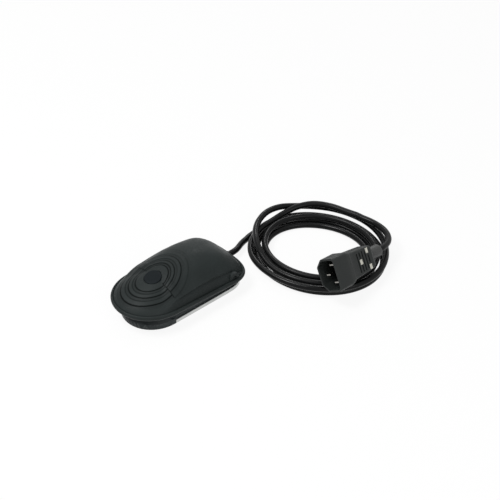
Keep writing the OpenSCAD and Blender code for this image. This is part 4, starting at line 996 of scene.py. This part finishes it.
def add_springs():
    """Wound springs standing at their places."""
    steel = MATERIALS["spring_steel"]
    pattern = spring_pattern(steel)
    rows = [("return_springs", [-SPRING_X, SPRING_X], SPRING_Y, 3.6, (3.05, 0.9, 17.4, 6),
             "treadle_pivot", 0.766),
            ("plunger_spring", [0], PLUNGER_Y, 8.0, (1.65, 0.5, 11.72, 6), "plunger_slide", 0.734)]
    made = [pattern.run(node + "_wire", [(x, y, foot) for x in across], sizes, steel)
            for node, across, y, foot, sizes, _, _ in rows]
    for spring, (node, _, _, foot, _, joint, keep) in zip(made, rows):
        finish_piece(spring, "base")
        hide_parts(node)
        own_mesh(spring)


def add_smoothed_nodes():
    """Copies of the curved CAD parts that show, with their rounded faces smoothed."""
    for node, name in (("base_tray", "base_tray_moulded"), ("bottom_plate", "bottom_plate_pressed")):
        source = nodes[node]
        mesh = source.data.copy()
        made = bpy.data.objects.new(name, mesh)
        bpy.context.scene.collection.objects.link(made)
        made.matrix_world = source.matrix_world
        shape = bmesh.new()
        shape.from_mesh(mesh)
        bmesh.ops.remove_doubles(shape, verts=shape.verts, dist=1e-7)
        shape.to_mesh(mesh)
        shape.free()
        finish_piece(made, "base", 28)
        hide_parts(node)


# ---- lamps and floor ----

MIDDLE = v3(20, 55, 10)
LAMP_FAR = 1.3               # from the middle, in metres
# Each lamp: its direction from the middle, the side of its square in metres, watts
LAMPS = {"key_softbox": ((-0.47, 0.33, 0.82), 0.7, 1.8), "front_softbox": ((-0.22, -0.41, 0.88), 0.5, 12.5),
         "side_softbox": ((0.85, -0.2, 0.5), 0.9, 5.5), "glint_softbox": ((-0.55, 0.6, 0.58), 0.2, 1.6)}
ONLY_REFLECTED = "glint_softbox"
WORLD_LIGHT = 0.3
FLOOR_HALF = 6.0             # metres
FLOOR_GLOW = 0.9             # share of plain white in what is seen of the floor; the rest takes the shadow


def add_lamps():
    for name, (towards, size, power) in LAMPS.items():
        data = bpy.data.lights.new(name, "AREA")
        data.shape = "RECTANGLE"
        data.size, data.size_y = size, size
        data.energy = power
        made = bpy.data.objects.new(name, data)
        made.location = MIDDLE + Vector(towards)*LAMP_FAR
        made.rotation_mode = "QUATERNION"
        made.rotation_quaternion = (MIDDLE - made.location).to_track_quat("-Z", "Y")
        bpy.context.scene.collection.objects.link(made)
        made.visible_diffuse = name != ONLY_REFLECTED


def seen_share(tree, share):
    """Socket that is share for what the camera sees, straight, mirrored or through something, and else 0."""
    path = tree.nodes.new("ShaderNodeLightPath")
    value = path.outputs["Is Camera Ray"]
    for kind in ("Is Glossy Ray", "Is Transmission Ray"):
        inputs = {0: value, 1: path.outputs[kind]}
        value = add_node(tree, "ShaderNodeMath", inputs, operation="MAXIMUM").outputs[0]
    return add_node(tree, "ShaderNodeMath", {0: value, 1: share}, operation="MULTIPLY").outputs[0]


def whitened(tree, plain, white, share, end):
    """Lays a white shader over a plain one by that share of what is seen, and ends the tree with both."""
    mix = add_node(tree, "ShaderNodeMixShader",
                   {"Fac": seen_share(tree, share), 1: plain.outputs[0], 2: white.outputs[0]})
    tree.links.new(mix.outputs["Shader"], tree.nodes[end].inputs["Surface"])


def add_world():
    world = bpy.data.worlds.new("studio")
    bpy.context.scene.world = world
    world.use_nodes = True
    tree = world.node_tree
    sky = fill(tree, tree.nodes["Background"], {"Color": WHITE, "Strength": WORLD_LIGHT})
    white = add_node(tree, "ShaderNodeBackground", {"Color": WHITE, "Strength": 1.0})
    whitened(tree, sky, white, 1.0, "World Output")


def add_floor():
    mesh = bpy.data.meshes.new("floor")
    half = FLOOR_HALF
    corners = [(-half, -half, 0), (half, -half, 0), (half, half, 0), (-half, half, 0)]
    mesh.from_pydata(corners, [], [(0, 1, 2, 3)])
    floor = bpy.data.objects.new("floor", mesh)
    bpy.context.scene.collection.objects.link(floor)
    mat = bpy.data.materials.new("floor_paper")
    mat.use_nodes = True
    tree = mat.node_tree
    paper = fill(tree, tree.nodes["Principled BSDF"], {"Base Color": (0.86, 0.86, 0.86, 1), "Roughness": 0.9})
    glow = add_node(tree, "ShaderNodeEmission", {"Color": WHITE, "Strength": 1.0})
    whitened(tree, paper, glow, FLOOR_GLOW, "Material Output")
    mesh.materials.append(mat)


# ---- the whole ----

add_camera()
dress_nodes()
cord, cord_line, cord_length = add_cord()
add_cover()
add_cover_posts()
plug_shell, plug_sleeve = add_plug()
grommet = add_grommet()
add_feet()
add_screws()
add_springs()
add_smoothed_nodes()
add_world()
add_lamps()
add_floor()
bpy.context.scene.view_settings.view_transform = "Standard"
